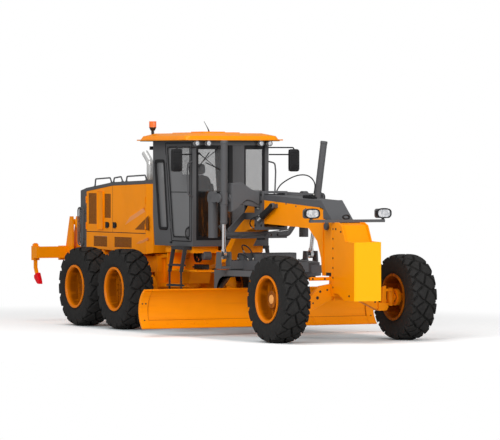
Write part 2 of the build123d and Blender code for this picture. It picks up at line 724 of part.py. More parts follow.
def lift_rod(sign):
    top, pivot, eye = lift_axis(sign)
    y = eye[1]
    inner_end = lerp(pivot, eye, -0.36)
    shaft = rod(inner_end, lerp(pivot, eye, 0.93), LIFT_ROD_R)
    ring = across(eye[0], eye[2], EYE_R, y - EYE_W / 2, y + EYE_W / 2)
    shaft += rod(lerp(pivot, eye, 0.9), lerp(pivot, eye, 0.94), 40)
    return shaft + ring - across(eye[0], eye[2], EYE_HOLE_R, y - EYE_W, y + EYE_W)


# Drawbar, circle, tilt frame and moldboard

DRAW_LOW = CIRCLE_TOP + FIT


def drawbar():
    eye = across(BALL_X, BALL_Z, 75, -60, 60) - across(BALL_X, BALL_Z, 32.05, -70, 70)
    neck = block((3240, BALL_X - 50), (-60, 60), (BALL_Z - 55, BALL_Z + 60))
    plan = [(3300, 100), (2500, 420), (1440, 520), (1440, 400), (2440, 300), (3100, 0),
            (2440, -300), (1440, -400), (1440, -520), (2500, -420), (3300, -100)]
    rails = plate(plan, DRAW_LOW, DRAW_LOW + 150, "z")
    cross = block((1640, 1840), (-700, 700), (DRAW_LOW + 20, DRAW_LOW + 150))
    tail = block((1400, 1500), (-520, 520), (DRAW_LOW, DRAW_LOW + 130))
    ex, ey, ez = LIFT_EYE
    horn = None
    for y in (ey - EYE_W / 2 - 12 - 70, ey + EYE_W / 2 + 12 + 40):
        lug = plate([(ex - 90, DRAW_LOW + 20), (ex - 60, ez + 50), (ex + 60, ez + 50), (ex + 90, DRAW_LOW + 20)],
                    y, y + 24)
        horn = lug if horn is None else horn + lug
    horn += block((ex - 90, ex + 90), (600, ey + EYE_W / 2 + 76), (DRAW_LOW + 20, DRAW_LOW + 60))
    horn += across(ex, ez, EYE_PIN_R, ey - EYE_W / 2 - 82, ey + EYE_W / 2 + 76)
    return eye + neck + rails + cross + tail + both(horn)


PITCH_CYL_X = 2150
PITCH_CYL_Z = 880
PITCH_LUG_Z = 850


def circle():
    ring = upright(CIRCLE_X, 0, CIRCLE_R, CIRCLE_LOW, CIRCLE_TOP)
    ring -= upright(CIRCLE_X, 0, CIRCLE_IN_R, CIRCLE_LOW - 10, CIRCLE_TOP + 10)
    arm = plate([(1560, CIRCLE_LOW + 5), (1280, CIRCLE_LOW + 5), (1110, 780), (1110, 380),
                 (PITCH_X - 60, PITCH_Z - 55), (PITCH_X + 35, PITCH_Z - 55), (PITCH_X + 35, 400),
                 (PITCH_X + 5, 600), (PITCH_X + 15, 740), (1500, 900)], ARM_Y, ARM_Y + 40)
    arm += plate([(1560, CIRCLE_LOW + 5), (1280, CIRCLE_LOW + 5), (1280, CIRCLE_LOW - 30),
                  (1560, CIRCLE_LOW - 30)], ARM_Y - 60, ARM_Y + 40)
    arm += across(PITCH_X, PITCH_Z, 60, ARM_Y, ARM_Y + 40)
    arm -= across(PITCH_X, PITCH_Z, 30.05, ARM_Y - 10, ARM_Y + 50)
    cross = block((PITCH_CYL_X + 40, PITCH_CYL_X + 150), (-575, 575), (CIRCLE_LOW - 60, CIRCLE_LOW + 5))
    ears = both(plate([(PITCH_CYL_X - 35, PITCH_CYL_Z - 35), (PITCH_CYL_X - 35, PITCH_CYL_Z + 35),
                       (PITCH_CYL_X + 60, CIRCLE_LOW), (PITCH_CYL_X + 140, CIRCLE_LOW),
                       (PITCH_CYL_X + 60, PITCH_CYL_Z - 35)], 34, 54))
    pin = across(PITCH_CYL_X, PITCH_CYL_Z, 18, -54, 54)
    return ring + both(arm) + cross + ears + pin


def blade_arc(offset):
    """Three points on the moldboard's section: edge, deepest point and top."""
    edge, top = (BLADE_EDGE_X, BLADE_EDGE_Z), (BLADE_TOP_X, BLADE_TOP_Z)
    chord = hypot(top[0] - edge[0], top[1] - edge[1])
    back = (-(top[1] - edge[1]) / chord, (top[0] - edge[0]) / chord)
    mid = lerp(edge, top, 0.5)
    deep = (mid[0] + back[0] * (BLADE_DEPTH + offset), mid[1] + back[1] * (BLADE_DEPTH + offset))
    side = (back[0] * offset, back[1] * offset)
    return (edge[0] + side[0], edge[1] + side[1]), deep, (top[0] + side[0], top[1] + side[1])


SHOE_Y = 470
SHOE_W = 76
RUN = 0.4
RAILS = [(1318, 640, 690), (1330, 215, 265)]


def moldboard():
    half = BLADE_L / 2
    front, back = blade_arc(0), blade_arc(BLADE_T)
    lines = [ThreePointArc(*[(x, -half, z) for x, z in front]),
             Line((front[2][0], -half, front[2][1]), (back[2][0], -half, back[2][1])),
             ThreePointArc(*[(x, -half, z) for x, z in reversed(back)]),
             Line((back[0][0], -half, back[0][1]), (front[0][0], -half, front[0][1]))]
    board = extrude(make_face(Wire(lines)), amount=BLADE_L, dir=(0, 1, 0))
    ribs = None
    for x, z0, z1 in RAILS:
        rail = block((x, x + 40), (-1150, 1150), (z0, z1))
        web = block((x + 39, x + 220), (-1150, 1150), (z0 + 8, z1 - 8))
        ribs = rail + web if ribs is None else ribs + rail + web
    hollow = plate([(x + 6, z) for x, z in front_points(back)] + [(BLADE_TOP_X + 300, BLADE_TOP_Z),
                   (BLADE_TOP_X + 300, BLADE_EDGE_Z)], -1200, 1200)
    return board + (ribs - hollow)


def front_points(section, count=13):
    """Points along an arc given by three points."""
    (x0, z0), (x1, z1), (x2, z2) = section
    d = 2 * (x0 * (z1 - z2) + x1 * (z2 - z0) + x2 * (z0 - z1))
    a, b, c = x0 * x0 + z0 * z0, x1 * x1 + z1 * z1, x2 * x2 + z2 * z2
    ux = (a * (z1 - z2) + b * (z2 - z0) + c * (z0 - z1)) / d
    uz = (a * (x2 - x1) + b * (x0 - x2) + c * (x1 - x0)) / d
    r = hypot(x0 - ux, z0 - uz)
    a0, a2 = atan2(z0 - uz, x0 - ux), atan2(z2 - uz, x2 - ux)
    if a0 < 0:
        a0 += 2 * pi
    return [(ux + r * cos(a0 + (a2 - a0) * i / (count - 1)), uz + r * sin(a0 + (a2 - a0) * i / (count - 1)))
            for i in range(count)]


def tilt_frame():
    y0, y1 = SHOE_Y - SHOE_W / 2, SHOE_Y + SHOE_W / 2
    side = plate([(PITCH_X - 60, PITCH_Z - 90), (1314, PITCH_Z - 90), (1314, 770), (1260, 800),
                  (PITCH_X - 75, 700), (PITCH_X - 90, PITCH_Z)], y0, y1)
    for x, z0, z1 in RAILS:
        side += block((x - 30, x + 58), (y0, y1), (z1, z1 + 35))
        side += block((x - 30, x + 58), (y0, y1), (z0 - 35, z0))
    for x, z0, z1 in RAILS:
        side -= block((x - RUN, x + 44), (y0 - 5, y1 + 5), (z0 - RUN, z1 + RUN))
        side -= block((x + 38, x + 140), (y0 - 5, y1 + 5), (z0 + 4, z1 - 4))
    side += across(PITCH_X, PITCH_Z, 29.95, y1 - 5, ARM_Y + 45)
    tubes = across(PITCH_X - 30, 560, 45, -y0 - 5, y0 + 5) + across(PITCH_X - 30, 380, 45, -y0 - 5, y0 + 5)
    lug = plate([(PITCH_X - 60, 540), (PITCH_X - 10, 540), (PITCH_X + 38, PITCH_LUG_Z - 20),
                 (PITCH_X + 38, PITCH_LUG_Z + 38), (PITCH_X - 38, PITCH_LUG_Z + 38)], 34, 54)
    pin = across(PITCH_X, PITCH_LUG_Z, 14, -54, 54)
    return both(side) + tubes + both(lug) + pin


def pitch_barrel():
    start, end = (PITCH_CYL_X, 0, PITCH_CYL_Z), (PITCH_X, 0, PITCH_LUG_Z)
    barrel = rod(lerp(start, end, 0.065), lerp(start, end, 0.56), 38)
    barrel += rod(lerp(start, end, 0.02), lerp(start, end, 0.08), 27)
    barrel += across(PITCH_CYL_X, PITCH_CYL_Z, 34, -30, 30)
    barrel -= rod(lerp(start, end, 0.09), lerp(start, end, 0.6), 20.05)
    return barrel - across(PITCH_CYL_X, PITCH_CYL_Z, 18.05, -40, 40)


def pitch_rod():
    start, end = (PITCH_CYL_X, 0, PITCH_CYL_Z), (PITCH_X, 0, PITCH_LUG_Z)
    shaft = rod(lerp(start, end, 0.45), lerp(start, end, 0.96), 20)
    ring = across(PITCH_X, PITCH_LUG_Z, 56, -28, 28)
    return shaft + ring - across(PITCH_X, PITCH_LUG_Z, 42, -40, 40)


# Front axle with leaning wheels

def front_axle():
    x = WHEEL_X["front"]
    hub = block((x - 75, x + 75), (-190, 190), (AXLE_PIN_Z - 150, AXLE_PIN_Z + 110))
    arm = plate([(180, AXLE_PIN_Z - 120), (180, AXLE_PIN_Z + 60), (LEAN_Y - 80, LEAN_Z + 50),
                 (LEAN_Y - 80, LEAN_Z - 60)], x - 60, x + 60, "x")
    for x0 in (x - 85, x + 55):
        arm += plate([(LEAN_Y - 130, LEAN_Z - 55), (LEAN_Y + 10, LEAN_Z - 55), (LEAN_Y + 50, LEAN_Z),
                      (LEAN_Y + 10, LEAN_Z + 55), (LEAN_Y - 130, LEAN_Z + 75)], x0, x0 + 30, "x")
    arm += rod((x - 85, LEAN_Y, LEAN_Z), (x + 85, LEAN_Y, LEAN_Z), 28)
    hole = rod((x - 80, 0, AXLE_PIN_Z), (x + 80, 0, AXLE_PIN_Z), 45.05)
    return hub + both(arm) - hole


def lean_bracket(sign):
    x = WHEEL_X["front"]
    eye = rod((x - 50, LEAN_Y, LEAN_Z), (x + 50, LEAN_Y, LEAN_Z), 52)
    web = plate([(LEAN_Y - 45, LEAN_Z), (LEAN_Y - 20, 830), (LEAN_Y + 40, 850),
                 (LEAN_Y + 45, LEAN_Z - 20)], x - 24, x + 24, "x")
    for z in (STEER_Z - 130, STEER_Z + 90):
        web += block((x - 24, x + 24), (LEAN_Y + 20, KING_Y), (z, z + 40))
        web += upright(x, KING_Y, 45, z, z + 40)
    web -= rod((x - 60, LEAN_Y, LEAN_Z), (x + 60, LEAN_Y, LEAN_Z), 28.05)
    web = web + eye - rod((x - 60, LEAN_Y, LEAN_Z), (x + 60, LEAN_Y, LEAN_Z), 28.05)
    web += upright(x, KING_Y, 26, STEER_Z - 135, STEER_Z + 135)
    return web if sign > 0 else mirrored(web)


def knuckle(sign):
    x = WHEEL_X["front"]
    post = upright(x, KING_Y, 55, STEER_Z - 84, STEER_Z + 84)
    post -= upright(x, KING_Y, 26.05, STEER_Z - 90, STEER_Z + 90)
    stub = across(x, AXLE_Z, 60, KING_Y + 30, WHEEL_Y + 32 - FIT)
    flange = across(x, AXLE_Z, 130, KING_Y + 70, KING_Y + 120)
    arm = plate([(x - 10, KING_Y - 20), (x - 10, KING_Y + 45), (x - 230, KING_Y + 10), (x - 230, KING_Y - 45),
                 (x - 70, KING_Y - 20)], STEER_Z - 80, STEER_Z - 45, "z")
    body = post + stub + flange + arm - upright(x, KING_Y, 26.05, STEER_Z - 90, STEER_Z + 90)
    return body if sign > 0 else mirrored(body)


# Ripper: arms and links in a parallelogram, with a beam, towers and shanks

SHANK_Y = (-1040, 0, 1040)
POCKET_Y = (-1040, -520, 0, 520, 1040)
LUG_IN, LUG_OUT = RIP_ARM_Y - 75, RIP_ARM_Y + 75
LUG_T = 28
PIN_R = 25
LINK_LOW = (RIP_ARM_X + 5, RIP_ARM_Z + RIP_LINK_RISE)
LINK_TOP = (RIP_PIN_X + 5, RIP_PIN_Z + RIP_LINK_RISE)


def bar_with_eyes(start, end, width, height, eye_r, hole_r):
    """A straight bar with a bored eye at each end, its middle plane at y = 0."""
    bar = beam(start, end, width, height)
    for x, z in (start, end):
        bar += across(x, z, eye_r, -width / 2, width / 2)
    for x, z in (start, end):
        bar -= across(x, z, hole_r, -width, width)
    return bar


def ripper_ears():
    """The lugs on the tail plate: low ones for the arms, tall ones for the links."""
    lugs = None
    face = FRAME_REAR - 30
    for y in (LUG_IN, LUG_OUT - LUG_T):
        low = plate([(FRAME_REAR + 120, RAIL_LOW + 10), (FRAME_REAR + 120, 780), (RIP_ARM_X - 20, 745),
                     (RIP_ARM_X - 55, RIP_ARM_Z), (RIP_ARM_X - 20, RIP_ARM_Z + 55),
                     (face, RAIL_LOW + 10)], y, y + LUG_T)
        tall = plate([(face + 5, 1010), (LINK_LOW[0] - 60, 1130), (LINK_LOW[0] - 45, LINK_LOW[1] + 45),
                      (LINK_LOW[0] + 20, LINK_LOW[1] + 45), (face - 8, 1295), (face + 5, 1295)],
                     y, y + LUG_T)
        lugs = low + tall if lugs is None else lugs + low + tall
    for x, z in ((RIP_ARM_X, RIP_ARM_Z), LINK_LOW):
        lugs += across(x, z, PIN_R, LUG_IN, LUG_OUT)
    return lugs


def ripper_head():
    """The middle lugs that hold the cylinder's barrel."""
    x, z = RIP_HEAD
    face = FRAME_REAR - 30
    lug = plate([(face + 5, 1150), (x - 15, z - 90), (x - 40, z - 10), (x - 40, z + 40), (x + 20, z + 40),
                 (face - 8, 1295), (face + 5, 1295)], 34, 58)
    return both(lug) + across(x, z, PIN_R, -58, 58)


def ripper_arms():
    arm = bar_with_eyes((RIP_ARM_X, RIP_ARM_Z), (RIP_PIN_X, RIP_PIN_Z), 80, 90, 48, PIN_R + 0.05)
    arm = Pos(0, RIP_ARM_Y, 0) * arm
    x, z = RIP_EYE
    tie = across(x, z - 40, 34, -RIP_ARM_Y, RIP_ARM_Y)
    ears = both(plate([(x - 45, z - 55), (x - 30, z + 35), (x + 30, z + 35), (x + 45, z - 55)], 34, 54))
    pin = across(x, z, 14, -54, 54)
    gap = across(x, z - 40, 60, -33, 33)
    return both(arm) + (tie - gap) + ears + pin


def ripper_links():
    link = bar_with_eyes(LINK_LOW, LINK_TOP, 60, 64, 42, PIN_R + 0.05)
    return both(Pos(0, RIP_ARM_Y, 0) * link)


def ripper_beam():
    front = RIP_BEAM_X + 40
    bar = block((RIP_BEAM_X - 110, front), (-1100, 1100), (1100, 1300))
    for y in POCKET_Y:
        pocket = block((RIP_BEAM_X - 190, RIP_BEAM_X - 105), (y - 60, y + 60), (1060, 1310))
        bar += pocket - block((RIP_BEAM_X - 170, RIP_BEAM_X - 115), (y - 26, y + 26), (1050, 1320))
    tower = None
    for y in (LUG_IN, LUG_OUT - LUG_T):
        side = plate([(RIP_BEAM_X - 60, 1295), (LINK_TOP[0] - 70, LINK_TOP[1] + 90),
                      (LINK_TOP[0] + 35, LINK_TOP[1] + 90), (LINK_TOP[0] + 50, LINK_TOP[1] - 30),
                      (RIP_PIN_X + 50, 1330), (RIP_PIN_X + 55, RIP_PIN_Z - 30), (RIP_PIN_X, RIP_PIN_Z - 60),
                      (front - 5, 1105), (front - 5, 1295)], y, y + LUG_T)
        tower = side if tower is None else tower + side
    for x, z in ((RIP_PIN_X, RIP_PIN_Z), LINK_TOP):
        tower += across(x, z, PIN_R, LUG_IN, LUG_OUT)
    shanks = None
    for y in SHANK_Y:
        shank = plate([(RIP_BEAM_X - 169.7, 1360), (RIP_BEAM_X - 115.3, 1360), (RIP_BEAM_X - 115.3, 940),
                       (RIP_BEAM_X - 60, 830), (RIP_BEAM_X - 100, 800), (RIP_BEAM_X - 169.7, 930)],
                      y - 25.7, y + 25.7)
        head = block((RIP_BEAM_X - 185, RIP_BEAM_X - 108), (y - 40, y + 40), (1310 + FIT, 1345))
        shank += head
        shanks = shank if shanks is None else shanks + shank
    return bar + both(tower) + shanks


def ripper_teeth():
    teeth = None
    for y in SHANK_Y:
        tooth = plate([(RIP_BEAM_X - 99.8, 799.7), (RIP_BEAM_X - 59.8, 829.7), (RIP_BEAM_X + 20, 690),
                       (RIP_BEAM_X + 45, 655), (RIP_BEAM_X - 40, 700)], y - 32, y + 32)
        teeth = tooth if teeth is None else teeth + tooth
    return teeth


def ripper_line(share):
    start, end = (RIP_HEAD[0], 0, RIP_HEAD[1]), (RIP_EYE[0], 0, RIP_EYE[1])
    return lerp(start, end, share)


def ripper_barrel():
    x, z = RIP_HEAD
    barrel = rod(ripper_line(0.25), ripper_line(0.88), 42) + across(x, z, 40, -30, 30)
    barrel += rod(ripper_line(0.04), ripper_line(0.27), 28)
    barrel -= rod(ripper_line(0.28), ripper_line(0.9), 20.05)
    return barrel - across(x, z, PIN_R + 0.05, -40, 40)


def ripper_rod():
    x, z = RIP_EYE
    shaft = rod(ripper_line(0.3), ripper_line(0.93), 20)
    ring = across(x, z, 54, -28, 28)
    return shaft + ring - across(x, z, 40, -40, 40)


def pieces():
    made = {
        "rear_frame": rear_frame(),
        "tandem_axle": tandem_axle(),
        "hood_shell": hood_shell(),
        "engine_block": engine_block(),
        "exhaust_stack": exhaust_stack(),
        "hood_rails": hood_rails(),
        "ripper_arms": ripper_arms(),
        "ripper_beam": ripper_beam(),
        "ripper_teeth": ripper_teeth(),
        "ripper_links": ripper_links(),
        "ripper_barrel": ripper_barrel(),
        "ripper_rod": ripper_rod(),
        "front_frame": front_frame(),
        "frame_cover": frame_cover(),
        "push_block": push_block(),
        "saddle": saddle(),
        "cab_shell": cab_shell(),
        "cab_glass": cab_glass(),
        "cab_roof": cab_roof(),
        "operator_station": operator_station(),
        "ladders": ladders(),
        "mirrors": mirrors(),
        "headlight_bar": headlight_bar(),
        "lamp_lenses": lamp_lenses(),
        "beacon": beacon(),
        "front_axle": front_axle(),
        "drawbar": drawbar(),
        "circle": circle(),
        "tilt_frame": tilt_frame(),
        "moldboard": moldboard(),
        "pitch_barrel": pitch_barrel(),
        "pitch_rod": pitch_rod(),
    }
    for side, sign in SIDES.items():
        made[f"hood_door_rear_{side}"] = hood_door(False, sign)
        made[f"hood_door_front_{side}"] = hood_door(True, sign)
        made[f"cab_door_{side}"] = cab_door(sign)
        made[f"door_glass_{side}"] = door_glass(sign)
        made[f"lift_barrel_{side}"] = lift_barrel(sign)
        made[f"lift_rod_{side}"] = lift_rod(sign)
        made[f"lean_bracket_{side}"] = lean_bracket(sign)
        made[f"knuckle_{side}"] = knuckle(sign)
    for name, x, sign in wheel_places():
        hub_out, disc_at = (125, 60) if name.startswith("front") else (40, 40)
        made[f"rim_{name}"] = place_wheel(rim(hub_out, disc_at), x, sign)
        made[f"tyre_{name}"] = place_wheel(tyre(), x, sign)
    return made


os.makedirs("parts", exist_ok=True)
for node, shape in pieces().items():
    export_step(shape, f"parts/{node}.step")
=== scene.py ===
"""The looks of a motor grader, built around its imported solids, in metres.

+X is forward, +Y the machine's left, +Z up, with the ground at z = 0.
"""
import math

import bmesh
import bpy
import numpy as np
from mathutils import Matrix, Vector


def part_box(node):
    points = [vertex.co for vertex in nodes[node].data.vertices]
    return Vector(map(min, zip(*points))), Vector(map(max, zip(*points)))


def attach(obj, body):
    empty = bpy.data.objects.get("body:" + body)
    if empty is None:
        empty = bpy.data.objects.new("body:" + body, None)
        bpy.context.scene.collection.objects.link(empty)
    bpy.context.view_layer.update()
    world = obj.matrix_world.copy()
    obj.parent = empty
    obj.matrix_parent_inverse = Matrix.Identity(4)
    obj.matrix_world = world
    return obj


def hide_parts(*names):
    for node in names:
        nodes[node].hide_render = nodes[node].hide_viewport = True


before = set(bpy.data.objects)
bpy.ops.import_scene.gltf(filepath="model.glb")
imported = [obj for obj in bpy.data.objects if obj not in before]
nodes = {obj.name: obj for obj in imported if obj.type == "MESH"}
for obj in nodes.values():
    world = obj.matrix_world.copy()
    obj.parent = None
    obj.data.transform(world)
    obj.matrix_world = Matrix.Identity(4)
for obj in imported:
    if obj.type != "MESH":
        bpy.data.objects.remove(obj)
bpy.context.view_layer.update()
SIDES = {"left": 1, "right": -1}


# The photographer's camera: a long lens far off the machine's right front corner.
# Its place was solved from the wheels and frame points of the photo, its image 500 by 440.

IMAGE_WIDTH = 500
FOCAL_PX = 3671.6
CAMERA_TARGET = Vector((1.1406, 0.0, 1.8363))
CAMERA_AZIMUTH = math.radians(62.2014)
CAMERA_ELEVATION = math.radians(0.837)
CAMERA_DISTANCE = 59.4875

camera_data = bpy.data.cameras.new("camera")
camera_data.sensor_width = 36
camera_data.lens = FOCAL_PX / IMAGE_WIDTH * camera_data.sensor_width
camera_data.clip_end = 300
camera = bpy.data.objects.new("camera", camera_data)
level = math.cos(CAMERA_ELEVATION)
camera.location = CAMERA_TARGET + CAMERA_DISTANCE * Vector((
    level * math.sin(CAMERA_AZIMUTH), -level * math.cos(CAMERA_AZIMUTH), math.sin(CAMERA_ELEVATION)))
camera.rotation_euler = (CAMERA_TARGET - camera.location).to_track_quat("-Z", "Y").to_euler()
bpy.context.scene.collection.objects.link(camera)
bpy.context.scene.camera = camera


# Shader formulas: sockets are wrapped so that a finish is written as arithmetic.
# Every material in the file is one Finish, with Object coordinates as its only place.

class Term:
    """A shader value; an operator on it adds the Math node that works it out."""

    def __init__(self, finish, socket):
        self.finish, self.socket = finish, socket

    def maths(self, operation, *inputs):
        return self.finish.add("ShaderNodeMath", {"operation": operation}, dict(enumerate(inputs)))

    def __add__(self, other):
        return self.maths("ADD", self, other)

    __radd__ = __add__

    def __sub__(self, other):
        return self.maths("SUBTRACT", self, other)

    def __rsub__(self, other):
        return self.maths("SUBTRACT", other, self)

    def __mul__(self, other):
        return self.maths("MULTIPLY", self, other)

    __rmul__ = __mul__

    def __abs__(self):
        return self.maths("ABSOLUTE", self)

    def least(self, other):
        return self.maths("MINIMUM", self, other)

    def most(self, other):
        return self.maths("MAXIMUM", self, other)

    def sine(self):
        return self.maths("SINE", self)

    def ramp(self, low, high):
        """0 below low, 1 above high, and smooth between."""
        return self.finish.add("ShaderNodeMapRange", {"interpolation_type": "SMOOTHSTEP"},
                               {"Value": self, "From Min": low, "From Max": high})


class Finish:
    """One material: a Principled shader and the formulas that feed it."""

    def __init__(self, name, colour, roughness, slot=None, **sockets):
        self.slot = slot
        self.material = bpy.data.materials.new(name)
        self.material.use_nodes = True
        self.tree = self.material.node_tree
        self.shader = self.tree.nodes["Principled BSDF"]
        self.colour = (*colour, 1)
        self.paint(self.colour)
        self.roughen(roughness)
        for socket, value in sockets.items():
            self.put(self.shader.inputs[socket.replace("_", " ")], value)
        self.material.diffuse_color = self.colour

    def put(self, socket, value):
        if isinstance(value, Term):
            self.tree.links.new(value.socket, socket)
        else:
            socket.default_value = value

    def paint(self, colour):
        self.put(self.shader.inputs["Base Color"], colour)

    def roughen(self, roughness):
        self.put(self.shader.inputs["Roughness"], roughness)

    def add(self, kind, settings=None, inputs=None, out=0):
        """Any node: its settings first, then the values or links of its sockets."""
        node = self.tree.nodes.new(kind)
        for name, value in (settings or {}).items():
            setattr(node, name, value)
        for key, value in (inputs or {}).items():
            self.put(node.inputs[key], value)
        return Term(self, node.outputs[out])

    def where(self):
        """The x, y and z of the surface point, in the machine's frame."""
        spot = self.add("ShaderNodeTexCoord", out="Object")
        parts = self.add("ShaderNodeSeparateXYZ", inputs={0: spot})
        return [Term(self, out) for out in parts.socket.node.outputs]

    def noise(self, scale, detail=2.0, stretch=None):
        """Fractal noise in the machine's frame, its place multiplied first by a stretch."""
        spot = self.add("ShaderNodeTexCoord", out="Object")
        if stretch:
            spot = self.add("ShaderNodeMapping", inputs={0: spot, 3: stretch})
        return self.add("ShaderNodeTexNoise", inputs={"Vector": spot, "Scale": scale, "Detail": detail})

    def mix(self, mask, a, b):
        """Colour a where the mask is 0, b where it is 1."""
        return self.add("ShaderNodeMix", {"data_type": "RGBA"}, {0: mask, 6: a, 7: b}, out=2)

    def bump(self, height, depth, strength=1.0):
        normal = self.add("ShaderNodeBump", inputs={"Strength": strength, "Distance": depth,
                                                    "Height": height})
        self.put(self.shader.inputs["Normal"], normal)

    def shade(self, amount):
        """The finish's colour, darker or lighter by a factor."""
        return tuple(c * amount for c in self.colour[:3]) + (1,)


def enamel(name, colour, roughness=0.42, slot=None, gloss=0.12):
    """Sprayed enamel: large faint clouds of tone, dust in the gloss, and a fine orange peel."""
    cloud, peel = 0.05, 0.0006
    finish = Finish(name, colour, roughness, slot, Specular_IOR_Level=gloss, Coat_Weight=0.02,
                    Coat_Roughness=0.12)
    tone = finish.noise(1.7, 3).ramp(0.3, 0.7)
    finish.tone = finish.mix(tone, finish.shade(1 - cloud), finish.shade(1 + cloud * 0.5))
    finish.paint(finish.tone)
    dust = finish.noise(9, 4)
    finish.roughen(dust * 0.14 + (roughness - 0.07))
    finish.bump(finish.noise(260, 2), peel, 0.35)
    return finish


def dress(finish, *names):
    """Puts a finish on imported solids, which keep their own meshes."""
    for name in names:
        solid = nodes[name]
        if not solid.material_slots:
            solid.data.materials.append(None)
        for place in solid.material_slots:
            place.link = "OBJECT"
            place.material = finish.material


# Shapes: each is an array of corners and an array of four-cornered faces.
# A grid of points by two parameters becomes a surface; shapes are joined into pieces.

def grid(points, wrap_rows=False, wrap_columns=False, flip=False):
    """Faces between neighbouring rows and columns of points, and across the seams that wrap."""
    rows, columns = points.shape[:2]
    i = np.arange(rows if wrap_rows else rows - 1)[:, None]
    j = np.arange(columns if wrap_columns else columns - 1)[None, :]
    corners = [(i, j), (i + 1, j), (i + 1, j + 1), (i, j + 1)]
    faces = np.stack([np.broadcast_to(a % rows * columns + b % columns, (i.size, j.size))
                      for a, b in corners], -1)
    faces = faces.reshape(-1, 4)
    return points.reshape(-1, 3), faces[:, ::-1] if flip else faces


def join(*shapes):
    """Several shapes as one, their faces counted on from each other."""
    starts = np.cumsum([0] + [len(v) for v, _ in shapes])
    return (np.concatenate([v for v, _ in shapes]),
            np.concatenate([f + s for (_, f), s in zip(shapes, starts)]))


def moved(shape, offset):
    return shape[0] + np.array(offset, float), shape[1]


def turned(shape, axis, degrees, pivot=(0, 0, 0)):
    turn = np.array(Matrix.Rotation(math.radians(degrees), 3, axis))
    return (shape[0] - pivot) @ turn.T + pivot, shape[1]


def flipped(shape):
    """The same corners with every face turned over."""
    return shape[0], shape[1][:, ::-1]


def mirrored(shape):
    """The other side's copy: y changes sign and the faces turn over to stay outwards."""
    return flipped((shape[0] * (1, -1, 1), shape[1]))


def on_side(shape, sign):
    """The left side's shape, or its mirrored copy on the right."""
    return shape if sign > 0 else mirrored(shape)


def both(shape):
    return join(shape, mirrored(shape))


def copies(shape, offsets):
    """The shape repeated at each offset."""
    corners, faces = shape
    offsets = np.array(offsets, float)
    count = len(offsets)
    all_corners = (corners[None] + offsets[:, None]).reshape(-1, 3)
    all_faces = (faces[None] + (np.arange(count) * len(corners))[:, None, None]).reshape(-1, 4)
    return all_corners, all_faces


def lathe(profile, centre=(0, 0, 0), count=64):
    """A profile of (along y, radius) pairs turned about the line through the centre along Y."""
    along, radius = np.array(profile, float).T
    angle = np.linspace(0, 2 * math.pi, count, endpoint=False)[:, None]
    points = np.stack([centre[0] + radius * np.cos(angle), centre[1] + along + 0 * angle,
                       centre[2] + radius * np.sin(angle)], -1)
    return grid(points, wrap_rows=True)


def slab(x, y, z, round_off=0.004, along="x"):
    """A block between limits with its edges rounded: a rounded oblong carried along one axis,
    drawn in at both ends by the same radius."""
    order = {"x": (0, 1, 2), "y": (1, 2, 0), "z": (2, 0, 1)}[along]
    limits = [(x, y, z)[k] for k in order]
    (a0, a1), (b0, b1), (c0, c1) = limits
    r = min(round_off, (b1 - b0) / 2.01, (c1 - c0) / 2.01, (a1 - a0) / 2.01)
    turn = np.linspace(0, 2 * math.pi, 17)[:-1] + math.pi / 16
    bow = np.array([0, 0.35, 1])
    ends = [(a0 + r * (1 - s), r * (1 - math.sqrt(max(0, 1 - (1 - s) ** 2)))) for s in (0, 0.35, 1)]
    ends += [(a0 + a1 - a, inset) for a, inset in reversed(ends)]
    ends = [(ends[0][0], None)] + ends + [(ends[-1][0], None)]
    rings = []
    for a, inset in ends:
        if inset is None:
            ring = np.stack([np.full(16, a), np.full(16, (b0 + b1) / 2), np.full(16, (c0 + c1) / 2)], -1)
        else:
            bb = np.where(np.cos(turn) > 0, b1 - r, b0 + r) + (r - inset) * np.cos(turn)
            cc = np.where(np.sin(turn) > 0, c1 - r, c0 + r) + (r - inset) * np.sin(turn)
            ring = np.stack([np.full(16, a), bb, cc], -1)
        rings.append(ring)
    points = np.stack(rings)
    back = np.argsort(order)
    return grid(points[..., back], wrap_columns=True, flip=True)


def carried(path, radius, count=12, ends=True):
    """A round section carried along a path of points, square to the path at each of them."""
    path = np.array(path, float)
    way = np.gradient(path, axis=0)
    way /= np.linalg.norm(way, axis=1)[:, None]
    aid = np.where(np.abs(way[:, 2:3]) > 0.9, [[1.0, 0, 0]], [[0, 0, 1.0]])
    if np.any(np.abs(way[:, 2]) > 0.9) and np.any(np.abs(way[:, 2]) <= 0.9):
        aid = np.broadcast_to(np.cross(path[-1] - path[0], way[len(way) // 2]) + (0.013, 0.017, 0.011),
                              way.shape)
    side = np.cross(way, aid)
    side /= np.linalg.norm(side, axis=1)[:, None]
    up = np.cross(side, way)
    turn = np.linspace(0, 2 * math.pi, count, endpoint=False)[None, :, None]
    radius = np.broadcast_to(np.asarray(radius, float), len(path))[:, None, None]
    points = path[:, None] + radius * (np.cos(turn) * side[:, None] + np.sin(turn) * up[:, None])
    if ends:
        points = np.concatenate([np.repeat(path[:1, None], count, 1), points,
                                 np.repeat(path[-1:, None], count, 1)])
    return grid(points, wrap_columns=True, flip=True)


def bent(corners, radius, steps=6):
    """A path of straight runs whose corners are arcs of one radius, as a tube bender leaves them."""
    corners = [np.array(c, float) for c in corners]
    path = [corners[0]]
    for before, at, after in zip(corners, corners[1:], corners[2:]):
        u, v = before - at, after - at
        u, v = u / np.linalg.norm(u), v / np.linalg.norm(v)
        half = math.acos(np.clip(u @ v, -1, 1)) / 2
        reach = radius / math.tan(half)
        centre = at + (u + v) / np.linalg.norm(u + v) * radius / math.sin(half)
        a, b = at + u * reach - centre, at + v * reach - centre
        sweep = math.pi - 2 * half
        t = np.linspace(0, 1, steps + 1)[:, None]
        path.extend(centre + (a * np.sin((1 - t) * sweep) + b * np.sin(t * sweep)) / math.sin(sweep))
    path.append(corners[-1])
    return np.array(path)


